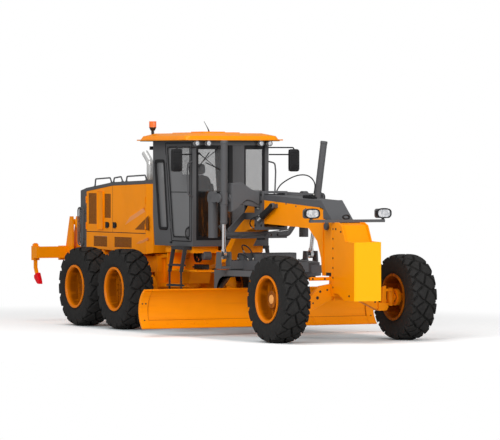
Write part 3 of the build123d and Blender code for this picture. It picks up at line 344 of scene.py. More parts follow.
def piece(name, shape, finish, body="front", smooth=35):
    """A finished mesh: doubles merged, smooth up to an angle, riding on its body."""
    mesh = bpy.data.meshes.new(name)
    mesh.from_pydata(shape[0].tolist(), [], shape[1].tolist())
    mesh.validate()
    work = bmesh.new()
    work.from_mesh(mesh)
    bmesh.ops.remove_doubles(work, verts=work.verts, dist=1e-5)
    bmesh.ops.dissolve_degenerate(work, edges=work.edges, dist=1e-6)
    work.to_mesh(mesh)
    work.free()
    made = bpy.data.objects.new(name, mesh)
    bpy.context.scene.collection.objects.link(made)
    mesh.materials.append(finish.material)
    if smooth:
        mesh.shade_smooth()
        mesh.set_sharp_from_angle(angle=math.radians(smooth))
    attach(made, body)
    return made


# Tyres: wide cross-ply earthmover tyres of black rubber, moulded with angular blocks.
# The blocks are cut by slanting grooves; the sidewall has a bead ring and a shoulder line.

WHEEL_X = {"front": 4.2, "middle": -1.19, "rear": -2.73}
WHEEL_Y = 1.114
TYRE_R = 0.669
TREAD_HALF_W = 0.212
TREAD_DEPTH = 0.036
PITCHES = 17
GROOVE_HALF = 0.0145
# Each groove of one pitch: points as (share of the half width, share of the pitch)
GROOVES = [
    [(-1.25, -1.18), (-0.78, -0.87), (-0.3, -0.43), (0.0, -0.28), (0.51, 0.04), (0.78, 0.31), (1.0, 0.8)],
    [(-0.1, 0.64), (0.27, -0.11)],
    [(-0.78, 0.13), (-0.1, -0.33)],
    [(0.45, 0.02), (1.3, -0.28)],
    [(-1.3, -0.02), (-0.62, -0.72)],
]


def groove_distance(u, v, half_width, pitch):
    """Distance in metres from points of the unrolled tread to the nearest groove's middle line."""
    nearest = np.full(u.shape, 9.0)
    for line in GROOVES:
        for (u0, v0), (u1, v1) in zip(line, line[1:]):
            for shift in (-2, -1, 0, 1, 2):
                ax, ay = u0 * half_width, (v0 + shift) * pitch
                bx, by = (u1 - u0) * half_width, (v1 - v0) * pitch
                px, py = u * half_width - ax, v * pitch - ay
                t = np.clip((px * bx + py * by) / (bx * bx + by * by), 0, 1)
                nearest = np.minimum(nearest, np.hypot(px - t * bx, py - t * by))
    return nearest


def tyre_shape(steps_round=510, steps_across=56):
    """Rows round the tyre, columns over its section from bead to bead: the section's radius at
    each width is lowered by the tread depth where a groove or the open shoulder lies."""
    bead, wall = 0.192, 0.2225
    inner = np.array([
        (-bead, 0.3435), (-bead - 0.006, 0.352), (-bead - 0.010, 0.366), (-bead - 0.004, 0.376),
        (-bead - 0.012, 0.392), (-wall + 0.004, 0.425), (-wall, 0.47), (-wall, 0.5),
        (-wall + 0.0005, 0.535), (-wall + 0.003, 0.57), (-wall + 0.006, 0.6), (-wall + 0.0085, 0.622)])
    s = np.linspace(-1, 1, steps_across)
    tread_y = TREAD_HALF_W * np.sign(s) * (1 - (1 - np.abs(s)) ** 1.15)
    crown = TYRE_R - 0.034 * np.abs(tread_y / TREAD_HALF_W) ** 4.2
    section_y = np.concatenate([inner[:, 0], tread_y, -inner[::-1, 0]])
    section_r = np.concatenate([inner[:, 1], crown, inner[::-1, 1]])
    open_shoulder = np.concatenate([np.zeros(9), [0.15, 0.5, 0.85]])
    depth = np.concatenate([open_shoulder, np.ones(steps_across), open_shoulder[::-1]])
    turn = np.linspace(0, 2 * math.pi, steps_round, endpoint=False)[:, None]
    pitch = 2 * math.pi * TYRE_R / PITCHES
    v = (turn / (2 * math.pi) * PITCHES) % 1
    u = section_y[None] / TREAD_HALF_W
    far = groove_distance(u + 0 * v, v + 0 * u, TREAD_HALF_W, pitch)
    cut = np.clip((GROOVE_HALF - far) / 0.005 + 0.5, 0, 1)
    cut = cut * cut * (3 - 2 * cut)
    radius = section_r[None] - depth[None] * TREAD_DEPTH * cut
    y = section_y[None] + 0 * turn
    shoulder = np.concatenate([open_shoulder, 0.6 * np.abs(s) ** 12, open_shoulder[::-1]])
    y = y - np.sign(y) * shoulder[None] * 0.016 * cut
    return radius, y, turn


def tyre_points(radius, y, turn, centre, sign):
    way = turn if sign > 0 else -turn
    points = np.stack([centre[0] - sign * radius * np.cos(way), centre[1] + sign * y,
                       centre[2] + radius * np.sin(way)], -1)
    return grid(points, wrap_rows=True, wrap_columns=True, flip=sign < 0)


def from_axle(x, z):
    """The distance of a shader's point from the nearest wheel's axis."""
    nearest = None
    for x0 in WHEEL_X.values():
        away = (x - x0) * (x - x0) + (z - TYRE_R) * (z - TYRE_R)
        nearest = away if nearest is None else nearest.least(away)
    return nearest.maths("SQRT")


rubber = Finish("tyre rubber", (0.0185, 0.0178, 0.0172), 0.8, slot="tyre", Specular_IOR_Level=0.2)
worn = rubber.noise(22, 3).ramp(0.35, 0.75)
faded = rubber.mix(worn, rubber.shade(0.85), rubber.shade(1.2))
# painted shade darkens the grooves: where the point is nearer its own wheel's axis than the blocks are
x, y, z = rubber.where()
painted_groove_shade = (from_axle(x, z) * -1 + TYRE_R - 0.020).ramp(0.0, 0.014)
painted_groove_shade = painted_groove_shade * (abs(abs(y) - WHEEL_Y) * -1 + TREAD_HALF_W * 0.9).ramp(0.0, 0.02)
rubber.paint(rubber.mix(painted_groove_shade * 0.8, faded, (0.002, 0.002, 0.002, 1)))
rubber.roughen(rubber.noise(60, 2) * 0.2 + 0.68)
rubber.bump(rubber.noise(320, 2), 0.0009, 0.5)

radius, across, turn = tyre_shape()
for row, x0 in WHEEL_X.items():
    for side, sign in SIDES.items():
        centre = (x0, sign * WHEEL_Y, TYRE_R)
        shape = tyre_points(radius, across, turn, centre, sign)
        tyre = piece(f"tread_{row}_{side}", shape, rubber, f"wheel_{row}_{side}", smooth=28)
        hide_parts(f"tyre_{row}_{side}")


# Rims: pressed and welded steel, sprayed orange, with a lock ring against the outer flange.
# Drive wheels are held by twelve nuts round a planetary hub, the front ones by ten round a pale cap.

ORANGE = (1.0, 0.305, 0.0)
RIM_FACE = 0.219
DISC_OUT = {"front": 0.060, "middle": 0.040, "rear": 0.040}
NUTS = {"front": 10, "middle": 12, "rear": 12}
NUT_CIRCLE = 0.196
# The rims' orange is darker than the body's orange, as painted shade.
rim_paint = enamel("rim paint", (0.78, 0.205, 0.0), 0.42, slot="rim_orange")
x, y, z = rim_paint.where()
# Painted shade darkens the dish behind the face and the gaps between the rings; painted glints mottle the
# dish, and a ring across it is lighter as a painted highlight.
painted_rim_shade = (abs(y) * -1 + (WHEEL_Y + RIM_FACE)).ramp(0.012, 0.10)
radius = from_axle(x, z)
for gap in (0.3495, 0.327, 0.300):
    painted_rim_shade = painted_rim_shade.most((abs(radius - gap) * -1 + 0.0045).ramp(0.0, 0.003))
painted_ring_highlight = (abs(radius - 0.312) * -1 + 0.008).ramp(0.0, 0.003) * 0.55
painted_glints = rim_paint.noise(2.2, 2, (9, 1, 1.2)).ramp(0.45, 0.7)
painted_dish_shade = rim_paint.mix(painted_glints, (0.24, 0.060, 0.0, 1), (0.42, 0.115, 0.0, 1))
painted_dish_shade = rim_paint.mix(painted_ring_highlight, painted_dish_shade, rim_paint.tone)
rim_paint.paint(rim_paint.mix(painted_rim_shade, rim_paint.tone, painted_dish_shade))
hub_paint = enamel("hub cap paint", (0.93, 0.42, 0.12), 0.45, slot="rim_orange")
dress(rim_paint, *[f"rim_{row}_{side}" for row in WHEEL_X for side in SIDES])


def lock_ring():
    """The lock ring's bead and gutter, two raised steps in front of the flange's face."""
    face = RIM_FACE
    profile = [(face - 0.004, 0.330), (face + 0.0012, 0.333), (face + 0.0022, 0.337),
               (face + 0.0022, 0.346), (face - 0.006, 0.3485), (face - 0.006, 0.3505),
               (face + 0.0015, 0.353), (face + 0.0015, 0.361), (face - 0.004, 0.3655)]
    return lathe(profile, count=96)


def hex_bolt(size, height):
    """A washer and a six-sided head standing up along +Y from the origin."""
    washer = lathe([(0, 0.0), (0, size * 1.35), (0.0025, size * 1.35), (0.0025, size)], count=12)
    head = lathe([(0.001, size), (height * 0.85, size), (height, size * 0.86), (height, 0.0)], count=6)
    return join(washer, head)


def ring_of(shape, count, ring_radius, along):
    """Copies of a small shape round a circle about the Y axis."""
    angle = np.arange(count) * 2 * math.pi / count + 0.13
    spots = np.stack([ring_radius * np.cos(angle), along + 0 * angle, ring_radius * np.sin(angle)], -1)
    return copies(shape, spots)


for row, x0 in WHEEL_X.items():
    disc = DISC_OUT[row]
    nut_ring = ring_of(hex_bolt(0.0135, 0.02), NUTS[row], NUT_CIRCLE, disc - 0.0005)
    for side, sign in SIDES.items():
        centre = (x0, sign * WHEEL_Y, TYRE_R)
        body = f"wheel_{row}_{side}"
        piece(f"lock_ring_{row}_{side}", moved(on_side(lock_ring(), sign), centre), rim_paint, body)
        piece(f"wheel_nuts_{row}_{side}", moved(on_side(nut_ring, sign), centre), rim_paint, body)
        if row == "front":
            cap = flipped(lathe([(0.124, 0.0), (0.138, 0.0), (0.138, 0.062), (0.134, 0.069),
                                 (0.1245, 0.071)], count=48))
            piece(f"hub_cap_{side}", moved(on_side(cap, sign), centre), hub_paint, body)
        else:
            cover = lathe([(0.0395, 0.14), (0.052, 0.136), (0.058, 0.118), (0.060, 0.0)], count=48)
            small = ring_of(hex_bolt(0.007, 0.009), 8, 0.092, 0.058)
            piece(f"planet_cover_{row}_{side}", moved(on_side(join(cover, small), sign), centre),
                  rim_paint, body)


# Rear frame, hood and doors: folded and welded plate sprayed orange, with a dark grey top and rear post.
# The colour changes along a line below the hood's top edge, where the upper fold is grey.

HOOD_HALF_W = 0.6
HOOD_BAND = 0.062
HOOD_POST_X = -3.79
# slope and height at x = 0 of the three runs of the hood's top, from the rear
HOOD_TOP_RUNS = [(0.2, 3.092), (0.09856, 2.70757), (0.02671, 2.51033)]
GREY = (0.092, 0.093, 0.098)
orange = enamel("machine orange", ORANGE, slot="body_orange")
grey = enamel("dark grey enamel", GREY, 0.5, slot="dark_grey", gloss=0.3)
black = Finish("black plastic", (0.012, 0.012, 0.013), 0.6, slot="black_plastic", Specular_IOR_Level=0.3)
black.bump(black.noise(500, 2), 0.0004, 0.4)

hood_paint = enamel("hood in two colours", ORANGE)
x, y, z = hood_paint.where()
top = (x * HOOD_TOP_RUNS[0][0] + HOOD_TOP_RUNS[0][1]).least(x * HOOD_TOP_RUNS[1][0] + HOOD_TOP_RUNS[1][1])
top = top.least(x * HOOD_TOP_RUNS[2][0] + HOOD_TOP_RUNS[2][1])
above = (z - top + HOOD_BAND).ramp(0.0, 0.0015)
behind = (x * -1 + HOOD_POST_X).ramp(0.0, 0.0015)
hood_paint.paint(hood_paint.mix(above.most(behind), hood_paint.tone, (*GREY, 1)))
dress(hood_paint, "hood_shell")
dress(orange, "rear_frame", "tandem_axle",
      *[f"hood_door_{end}_{side}" for end in ("rear", "front") for side in SIDES])
dress(black, "engine_block")
dress(grey, "hood_rails")

# The openings of both doors and the lower panels: x from, x to, z from, z to, and the body they ride on
GRILLE_PLACES = {
    "rear_tall": (-3.706, -3.386, 1.713, 2.244, "hood_door_rear_{}"),
    "rear_short": (-3.067, -2.820, 1.824, 2.237, "hood_door_rear_{}"),
    "low_rear": (-3.502, -2.967, 1.330, 1.508, "rear"),
    "low_front": (-2.678, -2.007, 1.330, 1.505, "rear"),
}
GRILLE_PITCH = 0.014
# The sheet is a darker orange as painted shade, and its holes are painted near black as the shade behind
# them.
sheet = enamel("perforated sheet", (0.40, 0.125, 0.006), 0.5, slot="body_orange")
x, y, z = sheet.where()
PER_METRE = 2 * math.pi / GRILLE_PITCH
painted_hole_shade = ((x * PER_METRE).sine() * (z * PER_METRE).sine()).ramp(-0.15, 0.35)
sheet.paint(sheet.mix(painted_hole_shade, sheet.tone, (0.045, 0.014, 0.002, 1)))


def plate(outline, low, high, edge=0.003):
    """A flat plate standing across Y: its outline drawn in by the edge's chamfer at both faces,
    each face closed by a fan round the outline's middle."""
    outline = np.array(outline, float)
    if np.sum(np.cross(outline, np.roll(outline, -1, 0))) > 0:
        outline = outline[::-1]
    middle = outline.mean(0)
    way = middle - outline
    drawn = outline + way / np.linalg.norm(way, axis=1)[:, None] * edge
    rings = [(middle + 0 * outline, low), (drawn, low), (outline, low + edge), (outline, high - edge),
             (drawn, high), (middle + 0 * outline, high)]
    points = np.stack([np.stack([ring[:, 0], np.full(len(ring), y), ring[:, 1]], -1) for ring, y in rings])
    return grid(points, wrap_columns=True)


for name, (x0, x1, z0, z1, rider) in GRILLE_PLACES.items():
    screen = slab((x0 + 0.001, x1 - 0.001), (0.5935, 0.5965), (z0 + 0.001, z1 - 0.001), 0.001)
    for side, sign in SIDES.items():
        shape = on_side(screen, sign)
        piece(f"screen_{name}_{side}", shape, sheet, rider.format(side), smooth=0)

WEDGE = [(-1.885, 1.641), (-1.481, 1.641), (-1.481, 1.830)]
# the sheet's inner face, outer face and edge
WEDGE_SKIN = (0.5995, 0.6015, 0.0005)
WEDGE_AHEAD = [(-1.469, 1.641), (-1.365, 1.641), (-1.365, 1.884), (-1.469, 1.836)]
piece("screens_ahead", both(plate(WEDGE_AHEAD, *WEDGE_SKIN)), sheet, "rear", smooth=0)
for side, sign in SIDES.items():
    shape = plate(WEDGE, *WEDGE_SKIN)
    piece(f"screen_wedge_{side}", on_side(shape, sign), sheet, f"hood_door_front_{side}", smooth=0)


# Hood trim: creases pressed in the front doors and the lower panels, a rib on the rear doors, latches
# beside the split, rubber in the gaps, a cover beside the tandem axle and a tube rail at each rear corner.

CREASE = [(-2.263, 1.712), (-2.005, 1.791), (-1.747, 1.869), (-1.490, 1.948)]
LOW_CREASE = [(-1.839, 1.398), (-1.70, 1.405), (-1.56, 1.425), (-1.370, 1.478)]
DOOR_RIB = ((-3.312, -3.096), (0.599, 0.626), (1.624, 2.274))
# The creases are a paler orange, as a painted highlight on their upward slopes.
painted_highlight_orange = enamel("crease orange", (1.0, 0.40, 0.13), 0.4, slot="body_orange")
LATCH_X = (-2.955, -2.660)
LATCH_Z = 1.704
SILL_Z = 1.580
# the gaps round the doors, x from, x to, z from, z to
DOOR_GAPS = [(-3.786, -1.478, SILL_Z - 0.006, SILL_Z + 0.006), (-2.749, -2.741, SILL_Z, 2.372),
             (-3.794, -3.786, SILL_Z, 2.270)]


def ridge(path, y, width, height):
    """A pressed ridge: a triangular section carried along a path in the XZ plane."""
    path = np.array(path, float)
    way = np.gradient(path, axis=0)
    way /= np.linalg.norm(way, axis=1)[:, None]
    across = np.stack([-way[:, 1], way[:, 0]], -1)
    taper = np.array([0.02] + [1.0] * (len(path) - 1))[:, None]
    rows = []
    for share, rise in ((0, 0), (0.82, 1), (1, 0)):
        p = path + across * (share * width) * taper
        rows.append(np.stack([p[:, 0], y + rise * height * taper[:, 0], p[:, 1]], -1))
    return grid(np.stack(rows, 1), wrap_columns=True)


for side, sign in SIDES.items():
    crease = ridge(CREASE, HOOD_HALF_W - 0.0005, 0.075, 0.024)
    piece(f"crease_{side}", on_side(crease, sign), painted_highlight_orange, f"hood_door_front_{side}", smooth=20)
    for end, x0 in zip(("rear", "front"), LATCH_X):
        cup = slab((x0 - 0.075, x0 + 0.075), (0.5985, 0.606),
                   (LATCH_Z - 0.032, LATCH_Z + 0.032), 0.003, "y")
        lever = slab((x0 - 0.050, x0 + 0.050), (0.604, 0.618),
                     (LATCH_Z - 0.05, LATCH_Z + 0.05), 0.005, "y")
        shape = join(cup, lever)
        piece(f"latch_{end}_{side}", on_side(shape, sign), black, f"hood_door_{end}_{side}")
    rib = slab(*DOOR_RIB, 0.013, "y")
    piece(f"door_rib_{side}", on_side(rib, sign), orange, f"hood_door_rear_{side}")
low_crease = ridge(LOW_CREASE, HOOD_HALF_W - 0.0005, 0.045, 0.016)
piece("low_creases", both(low_crease), painted_highlight_orange, "rear", smooth=20)
belly = slab((-2.10, -1.86), (-0.38, 0.38), (0.868, 1.22), 0.006)
piece("axle_cover", belly, orange, "rear")
seals = [slab((x0, x1), (0.588, 0.6008), (z0, z1), 0.001) for x0, x1, z0, z1 in DOOR_GAPS]
piece("door_gap_seals", both(join(*seals)), black, "rear", smooth=0)
rail = carried(bent([(-3.93, 0.64, 1.345), (-4.045, 0.64, 1.345), (-4.055, 0.64, 1.99),
                     (-3.83, 0.64, 1.99), (-3.85, 0.64, 1.345), (-3.93, 0.64, 1.345)], 0.06), 0.012, 12)
rail_feet = [slab((x0 - 0.012, x0 + 0.012), (0.598, 0.64), (z0 - 0.012, z0 + 0.012), 0.004, "y")
             for x0, z0 in ((-3.836, 1.90), (-3.848, 1.45), (-3.93, 1.345))]
piece("rear_rails", both(join(rail, *rail_feet)), grey, "rear", smooth=50)


# Exhaust: a polished stainless pipe with a slant mouth, darker and browner towards its foot near the hood.

steel = Finish("stainless pipe", (0.66, 0.66, 0.65), 0.24, Metallic=0.35)
x, y, z = steel.where()
darker_low = (z * -1 + 2.62).ramp(0.0, 0.16)
steel.paint(steel.mix(darker_low, (0.68, 0.68, 0.67, 1), (0.40, 0.36, 0.32, 1)))
steel.roughen(steel.noise(40, 3) * 0.16 + 0.16)
dress(steel, "exhaust_stack")


# Front frame: the gooseneck, a welded box of orange plate under a grey bolted cover.
# A welded rib runs down each side of the nose, with a round boss ahead of it; bolts and a connector
# stand on the cover.

dress(orange, "front_frame", "front_axle",
      *[f"{n}_{side}" for n in ("lean_bracket", "knuckle") for side in SIDES])
dress(grey, "frame_cover")
NOSE_X = 4.28
NOSE_HALF_W = 0.185
NOSE_JOINT_X = 3.932
NECK_HALF_W = 0.19
rib = slab((NOSE_JOINT_X, NOSE_JOINT_X + 0.016), (NOSE_HALF_W - 0.001, NOSE_HALF_W + 0.016),
           (1.015, 1.86), 0.003)
piece("nose_rib", both(rib), orange)
boss = flipped(lathe([(0.184, 0.0), (0.184, 0.058), (0.222, 0.058), (0.226, 0.054), (0.226, 0.02),
                      (0.220, 0.0)], (4.065, 0, 1.778), 40))
piece("nose_boss", both(boss), grey)
nose_line = join(slab((NOSE_X - 0.046, NOSE_X - 0.034), (0.1845, 0.196), (1.56, 1.835), 0.004),
                 slab((4.02, 4.25), (0.1845, 0.1865), (1.011, 1.062), 0.0005),
                 slab((NOSE_JOINT_X - 0.007, NOSE_JOINT_X - 0.001), (0.1895, 0.191), (1.06, 1.86), 0.0005))
piece("nose_lines", both(nose_line), black)
plug = join(slab((3.03, 3.23), (-0.06, 0.06), (2.198, 2.255), 0.012),
            slab((3.20, 3.34), (-0.03, 0.03), (2.192, 2.225), 0.008))
piece("cover_connector", plug, black)


def bolts(name, size, height, spots, finish, body="front", turn=None):
    """Bolt heads at the spots and at their mirror images, looking out along Y or turned from it."""
    head = hex_bolt(size, height)
    piece(name, both(copies(turned(head, *turn) if turn else head, spots)), finish, body)


AHEAD = ("Z", -90)
cover_bolts = [(x0, NECK_HALF_W - 0.001, 2.236 - 0.1135 * (x0 - 1.65)) for x0 in np.linspace(1.75, 3.7, 7)]
bolts("cover_bolts", 0.011, 0.010, cover_bolts, grey)


# Push block: a ballast box between flame cut cheeks, sprayed orange, with painted light making its front
# and upper faces yellow.
# Seven bolts on each edge of its flange hold it to the nose.

BLOCK_FRONT = 5.0
block_paint_with_painted_light = enamel("push block paint", ORANGE, 0.4, slot="body_orange")
x, y, z = block_paint_with_painted_light.where()
# painted light: the front face, and the top face near the front, are painted brighter and yellower
painted_front_light = (x - (BLOCK_FRONT - 0.004)).ramp(0.0, 0.002)
painted_top_light = (z * 1.0 - (1.5453 - 0.0035)).ramp(0.0, 0.002) * (x - (BLOCK_FRONT - 0.19)).ramp(0.0, 0.01)
block_paint_with_painted_light.paint(block_paint_with_painted_light.mix(painted_front_light.most(painted_top_light), block_paint_with_painted_light.tone, (0.98, 0.47, 0.002, 1)))
dress(block_paint_with_painted_light, "push_block")
CHEEK = [(4.331, 0.745), (4.331, 1.842), (4.50, 1.842), (4.60, 1.80), (4.72, 1.557), (4.9985, 1.547),
         (4.9985, 0.643), (4.70, 0.643), (4.47, 0.745)]
cheek = plate(CHEEK, 0.2148, 0.236, 0.003)
piece("block_cheeks", both(cheek), block_paint_with_painted_light)
FLANGE_BOLT_Z = [0.84 + 0.15 * i for i in range(7)]
flange_bolts = [(NOSE_X + 0.0495, 0.226, z0) for z0 in FLANGE_BOLT_Z]
bolt_black = Finish("phosphated bolts", (0.03, 0.028, 0.026), 0.5, slot="black_plastic", Metallic=0.6)
bolt_black.roughen(bolt_black.noise(90, 2) * 0.3 + 0.4)
bolts("flange_bolts", 0.016, 0.016, flange_bolts, bolt_black, turn=AHEAD)
cheek_bolts = [(NOSE_X + 0.14, 0.2355, 1.74), (NOSE_X + 0.30, 0.2355, 1.70), (NOSE_X + 0.56, 0.2355, 0.72)]
bolts("cheek_bolts", 0.013, 0.012, cheek_bolts, bolt_black)


# Headlamps: oval black plastic bowls on a grey bar, each with a moulded lens behind a bezel.
# The lens is ribbed upright, which breaks up the light; a coiled cable lies at the middle of the bar.

LAMP_Y, LAMP_Z = 0.634, 1.98
LAMP_FACE_X = NOSE_X + 0.110
LAMP_HALF_W, LAMP_HALF_H = 0.130, 0.076
dress(grey, "headlight_bar")
lens_glass = Finish("headlamp lens", (0.50, 0.515, 0.54), 0.2, Specular_IOR_Level=0.5)
x, y, z = lens_glass.where()
# painted reflections: the lens is mottled lighter and darker at random
painted_reflections = lens_glass.noise(34, 1).ramp(0.4, 0.6)
lens_glass.paint(lens_glass.mix(painted_reflections, (0.42, 0.435, 0.46, 1), (0.66, 0.67, 0.69, 1)))
lens_glass.bump((y * 420).sine(), 0.002, 0.4)
dress(lens_glass, "lamp_lenses")


coil_turn = np.linspace(0, 6 * math.pi, 73)
coil = np.stack([4.355 + 0.0035 * coil_turn / math.pi, -0.024 + 0.055 * np.cos(coil_turn),
                 1.924 + 0.030 * np.sin(coil_turn)], -1)
piece("cable_coil", carried(coil, 0.011, 8), black, smooth=50)


def oval_bowl(x0, y0, z0, half_w, half_h, depth):
    """A squared oval carried back and drawn in: the bezel's lip, its rim, and the bowl behind."""
    turn = np.linspace(0, 2 * math.pi, 48, endpoint=False)
    cy = np.sign(np.cos(turn)) * np.abs(np.cos(turn)) ** 0.85
    cz = np.sign(np.sin(turn)) * np.abs(np.sin(turn)) ** 0.62
    lip = [(0.001, 0.76), (0.012, 0.79), (0.017, 0.87), (0.012, 0.985), (0.0, 1.0)]
    back = [(-0.3 * depth, 0.97), (-0.65 * depth, 0.78), (-0.95 * depth, 0.45), (-depth, 0.0)]
    rows = []
    for along, size in lip + back:
        rows.append(np.stack([np.full(48, x0 + along), y0 + cy * half_w * size,
                              z0 + cz * half_h * size], -1))
    return grid(np.stack(rows), wrap_columns=True)


bowl = oval_bowl(LAMP_FACE_X, LAMP_Y, LAMP_Z, LAMP_HALF_W + 0.004, LAMP_HALF_H + 0.004, 0.105)
piece("headlamp_bowls", both(bowl), black, smooth=50)


# Cab: a grey welded frame of tube and plate with bonded windows, each in a black rubber gasket.
# A wide header above the windscreen carries the working lamps; black covers hide the hinges.

CAB_SIDE = 0.70
CAB_NOSE = 0.47
cab_paint = enamel("cab grey", (0.094, 0.095, 0.099), 0.55, slot="dark_grey", gloss=0.2)
dress(cab_paint, "cab_shell")
gasket = Finish("window gasket", (0.008, 0.008, 0.009), 0.6, slot="black_plastic", Specular_IOR_Level=0.25)
gasket.bump(gasket.noise(240, 2), 0.0005, 0.4)


def loop_strip(outline, y, width, height):
    """A rubber strip round a closed outline in the XZ plane: a low arched section on its line."""
    outline = np.array(outline, float)
    before, after = np.roll(outline, 1, 0), np.roll(outline, -1, 0)
    u = (outline - before) / np.linalg.norm(outline - before, axis=1)[:, None]
    v = (after - outline) / np.linalg.norm(after - outline, axis=1)[:, None]
    way = u + v
    way /= np.linalg.norm(way, axis=1)[:, None]
    across = np.stack([-way[:, 1], way[:, 0]], -1) / (way * u).sum(1)[:, None]
    rows = []
    for share, rise in ((-0.5, 0), (-0.42, 0.7), (-0.2, 1), (0.2, 1), (0.42, 0.7), (0.5, 0)):
        p = outline + across * share * width
        rows.append(np.stack([p[:, 0], np.full(len(p), y + rise * height), p[:, 1]], -1))
    return grid(np.stack(rows, 1), wrap_rows=True, wrap_columns=True)


def rounded(outline, radius, steps=5):
    """The outline with each corner cut by an arc, as points: the arc's tangent length is the radius
    or two fifths of the shorter run, whichever is less."""
    outline = [np.array(p, float) for p in outline]
    path = []
    for i, at in enumerate(outline):
        u, v = outline[i - 1] - at, outline[(i + 1) % len(outline)] - at
        cut = min(radius, 0.4 * np.linalg.norm(u), 0.4 * np.linalg.norm(v))
        a, b = at + u / np.linalg.norm(u) * cut, at + v / np.linalg.norm(v) * cut
        t = np.linspace(0, 1, steps)[:, None]
        path.append((1 - t) ** 2 * a + 2 * t * (1 - t) * at + t * t * b)
    return np.concatenate(path)


QUARTER = [(-0.905, 2.795), (-0.570, 2.795), (-0.440, 1.680), (-0.740, 1.680)]
strip = loop_strip(rounded(QUARTER, 0.05), CAB_SIDE - 0.001, 0.050, 0.016)
piece("quarter_gaskets", both(flipped(strip)), gasket, smooth=50)
grown = [(-0.532, 3.0895), (-0.300, 1.4805), (0.4295, 1.4805), (0.4295, 3.0895)]
strip = loop_strip(rounded(grown, 0.03), CAB_SIDE - 0.002, 0.010, 0.008)
piece("doorway_seals", both(strip), gasket, smooth=50)

# A tinted pane is dark grey plastic-laminated glass: it mirrors a little and shows what is behind it.
# Low on the windscreen, painted shade stands for the dark room behind, crossed by streaks of painted
# orange reflection.
glass = Finish("tinted glass", (0.17, 0.172, 0.176), 0.12, Specular_IOR_Level=0.35)
x, y, z = glass.where()
low = (z * -1 + 2.33).ramp(0.0, 0.05) * (x - 0.40).ramp(0.0, 0.02)
painted_reflection_streaks = glass.noise(2.6, 3, (1, 7, 1.1)).ramp(0.52, 0.72)
quarter = (y * -1 - 0.67).ramp(0.0, 0.005)
painted_shade_and_reflections = glass.mix(painted_reflection_streaks, (0.010, 0.010, 0.010, 1), (0.16, 0.05, 0.006, 1))
glass.paint(glass.mix(low, glass.shade(1.0), painted_shade_and_reflections))
glass.put(glass.shader.inputs["Alpha"], low * 0.62 + quarter * 0.66 + 0.26)
dress(glass, "cab_glass")
door_pane = Finish("door glass", (0.165, 0.167, 0.172), 0.14, Specular_IOR_Level=0.35)
x, y, z = door_pane.where()
clear = (z - 2.55).ramp(0.0, 0.03) * (x - 0.03).ramp(0.0, 0.03)
door_pane.put(door_pane.shader.inputs["Alpha"], clear * -0.5 + 0.94)
dress(door_pane, "door_glass_right")
dress(glass, "door_glass_left")
dress(cab_paint, *[f"cab_door_{side}" for side in SIDES])

for side, sign in SIDES.items():
    inner = [(-0.452, 3.02), (-0.243, 1.552), (0.362, 1.552), (0.362, 3.02)]
    strip = loop_strip(rounded(inner, 0.06), CAB_SIDE - 0.002, 0.020, 0.007)
    mid = slab((-0.34, 0.352), (0.688, 0.6925), (2.279, 2.289), 0.001)
    bow = carried(bent([(0.322, 0.699, 1.705), (0.322, 0.742, 1.69), (0.300, 0.746, 1.62),
                        (0.322, 0.742, 1.535), (0.322, 0.699, 1.52)], 0.03), 0.011)
    feet = copies(lathe([(0.0, 0.0), (0.008, 0.0), (0.008, 0.017), (0.0, 0.019)], (0.322, 0.6985, 0), 16),
                  [(0, 0, 1.705), (0, 0, 1.52)])
    feet = flipped(feet)
    for name, shape, finish in (("door_gasket", strip, gasket), ("door_rail", mid, gasket),
                                ("door_handle", join(bow, feet), black)):
        piece(f"{name}_{side}", on_side(shape, sign), finish, f"cab_door_{side}", smooth=50)
    cover = slab((-0.335, -0.275), (0.6985, 0.716), (1.44, 1.474), 0.006)
    piece(f"hinge_cover_{side}", on_side(cover, sign), black)


# Windscreen: laminated glass with a black border printed on it, behind a grey post.
# Three wipers lie on it: two hang from the header, the third stands up from the sill.

WINDSCREEN_Y = 0.635
WINDSCREEN_Z = (1.50, 3.05)
border = []
BORDER_SIDE = WINDSCREEN_Y - 0.05
BORDER_FOOT, BORDER_HEAD = 1.56, 2.985
for y0, y1, z0, z1 in (
        (-WINDSCREEN_Y, WINDSCREEN_Y, WINDSCREEN_Z[0], BORDER_FOOT),
        (-WINDSCREEN_Y, WINDSCREEN_Y, BORDER_HEAD, WINDSCREEN_Z[1]),
        (-WINDSCREEN_Y, -BORDER_SIDE, BORDER_FOOT, BORDER_HEAD),
        (BORDER_SIDE, WINDSCREEN_Y, BORDER_FOOT, BORDER_HEAD)):
    border.append(slab((CAB_NOSE - 0.022, CAB_NOSE - 0.0205), (y0, y1), (z0, z1), 0.0005))
piece("windscreen_border", join(*border), gasket, smooth=0)
MULLION_Y = (0.03, 0.25)
mullion = slab((CAB_NOSE - 0.021, CAB_NOSE + 0.003), MULLION_Y, WINDSCREEN_Z, 0.006)
piece("windscreen_post", mullion, cab_paint)
edge_strip = join(slab((CAB_NOSE - 0.018, CAB_NOSE + 0.008), (-0.045, 0.028), (2.3, 3.045), 0.004),
                  slab((CAB_NOSE - 0.018, CAB_NOSE + 0.006), (0.251, 0.272), WINDSCREEN_Z, 0.003))
piece("post_edges", edge_strip, gasket)


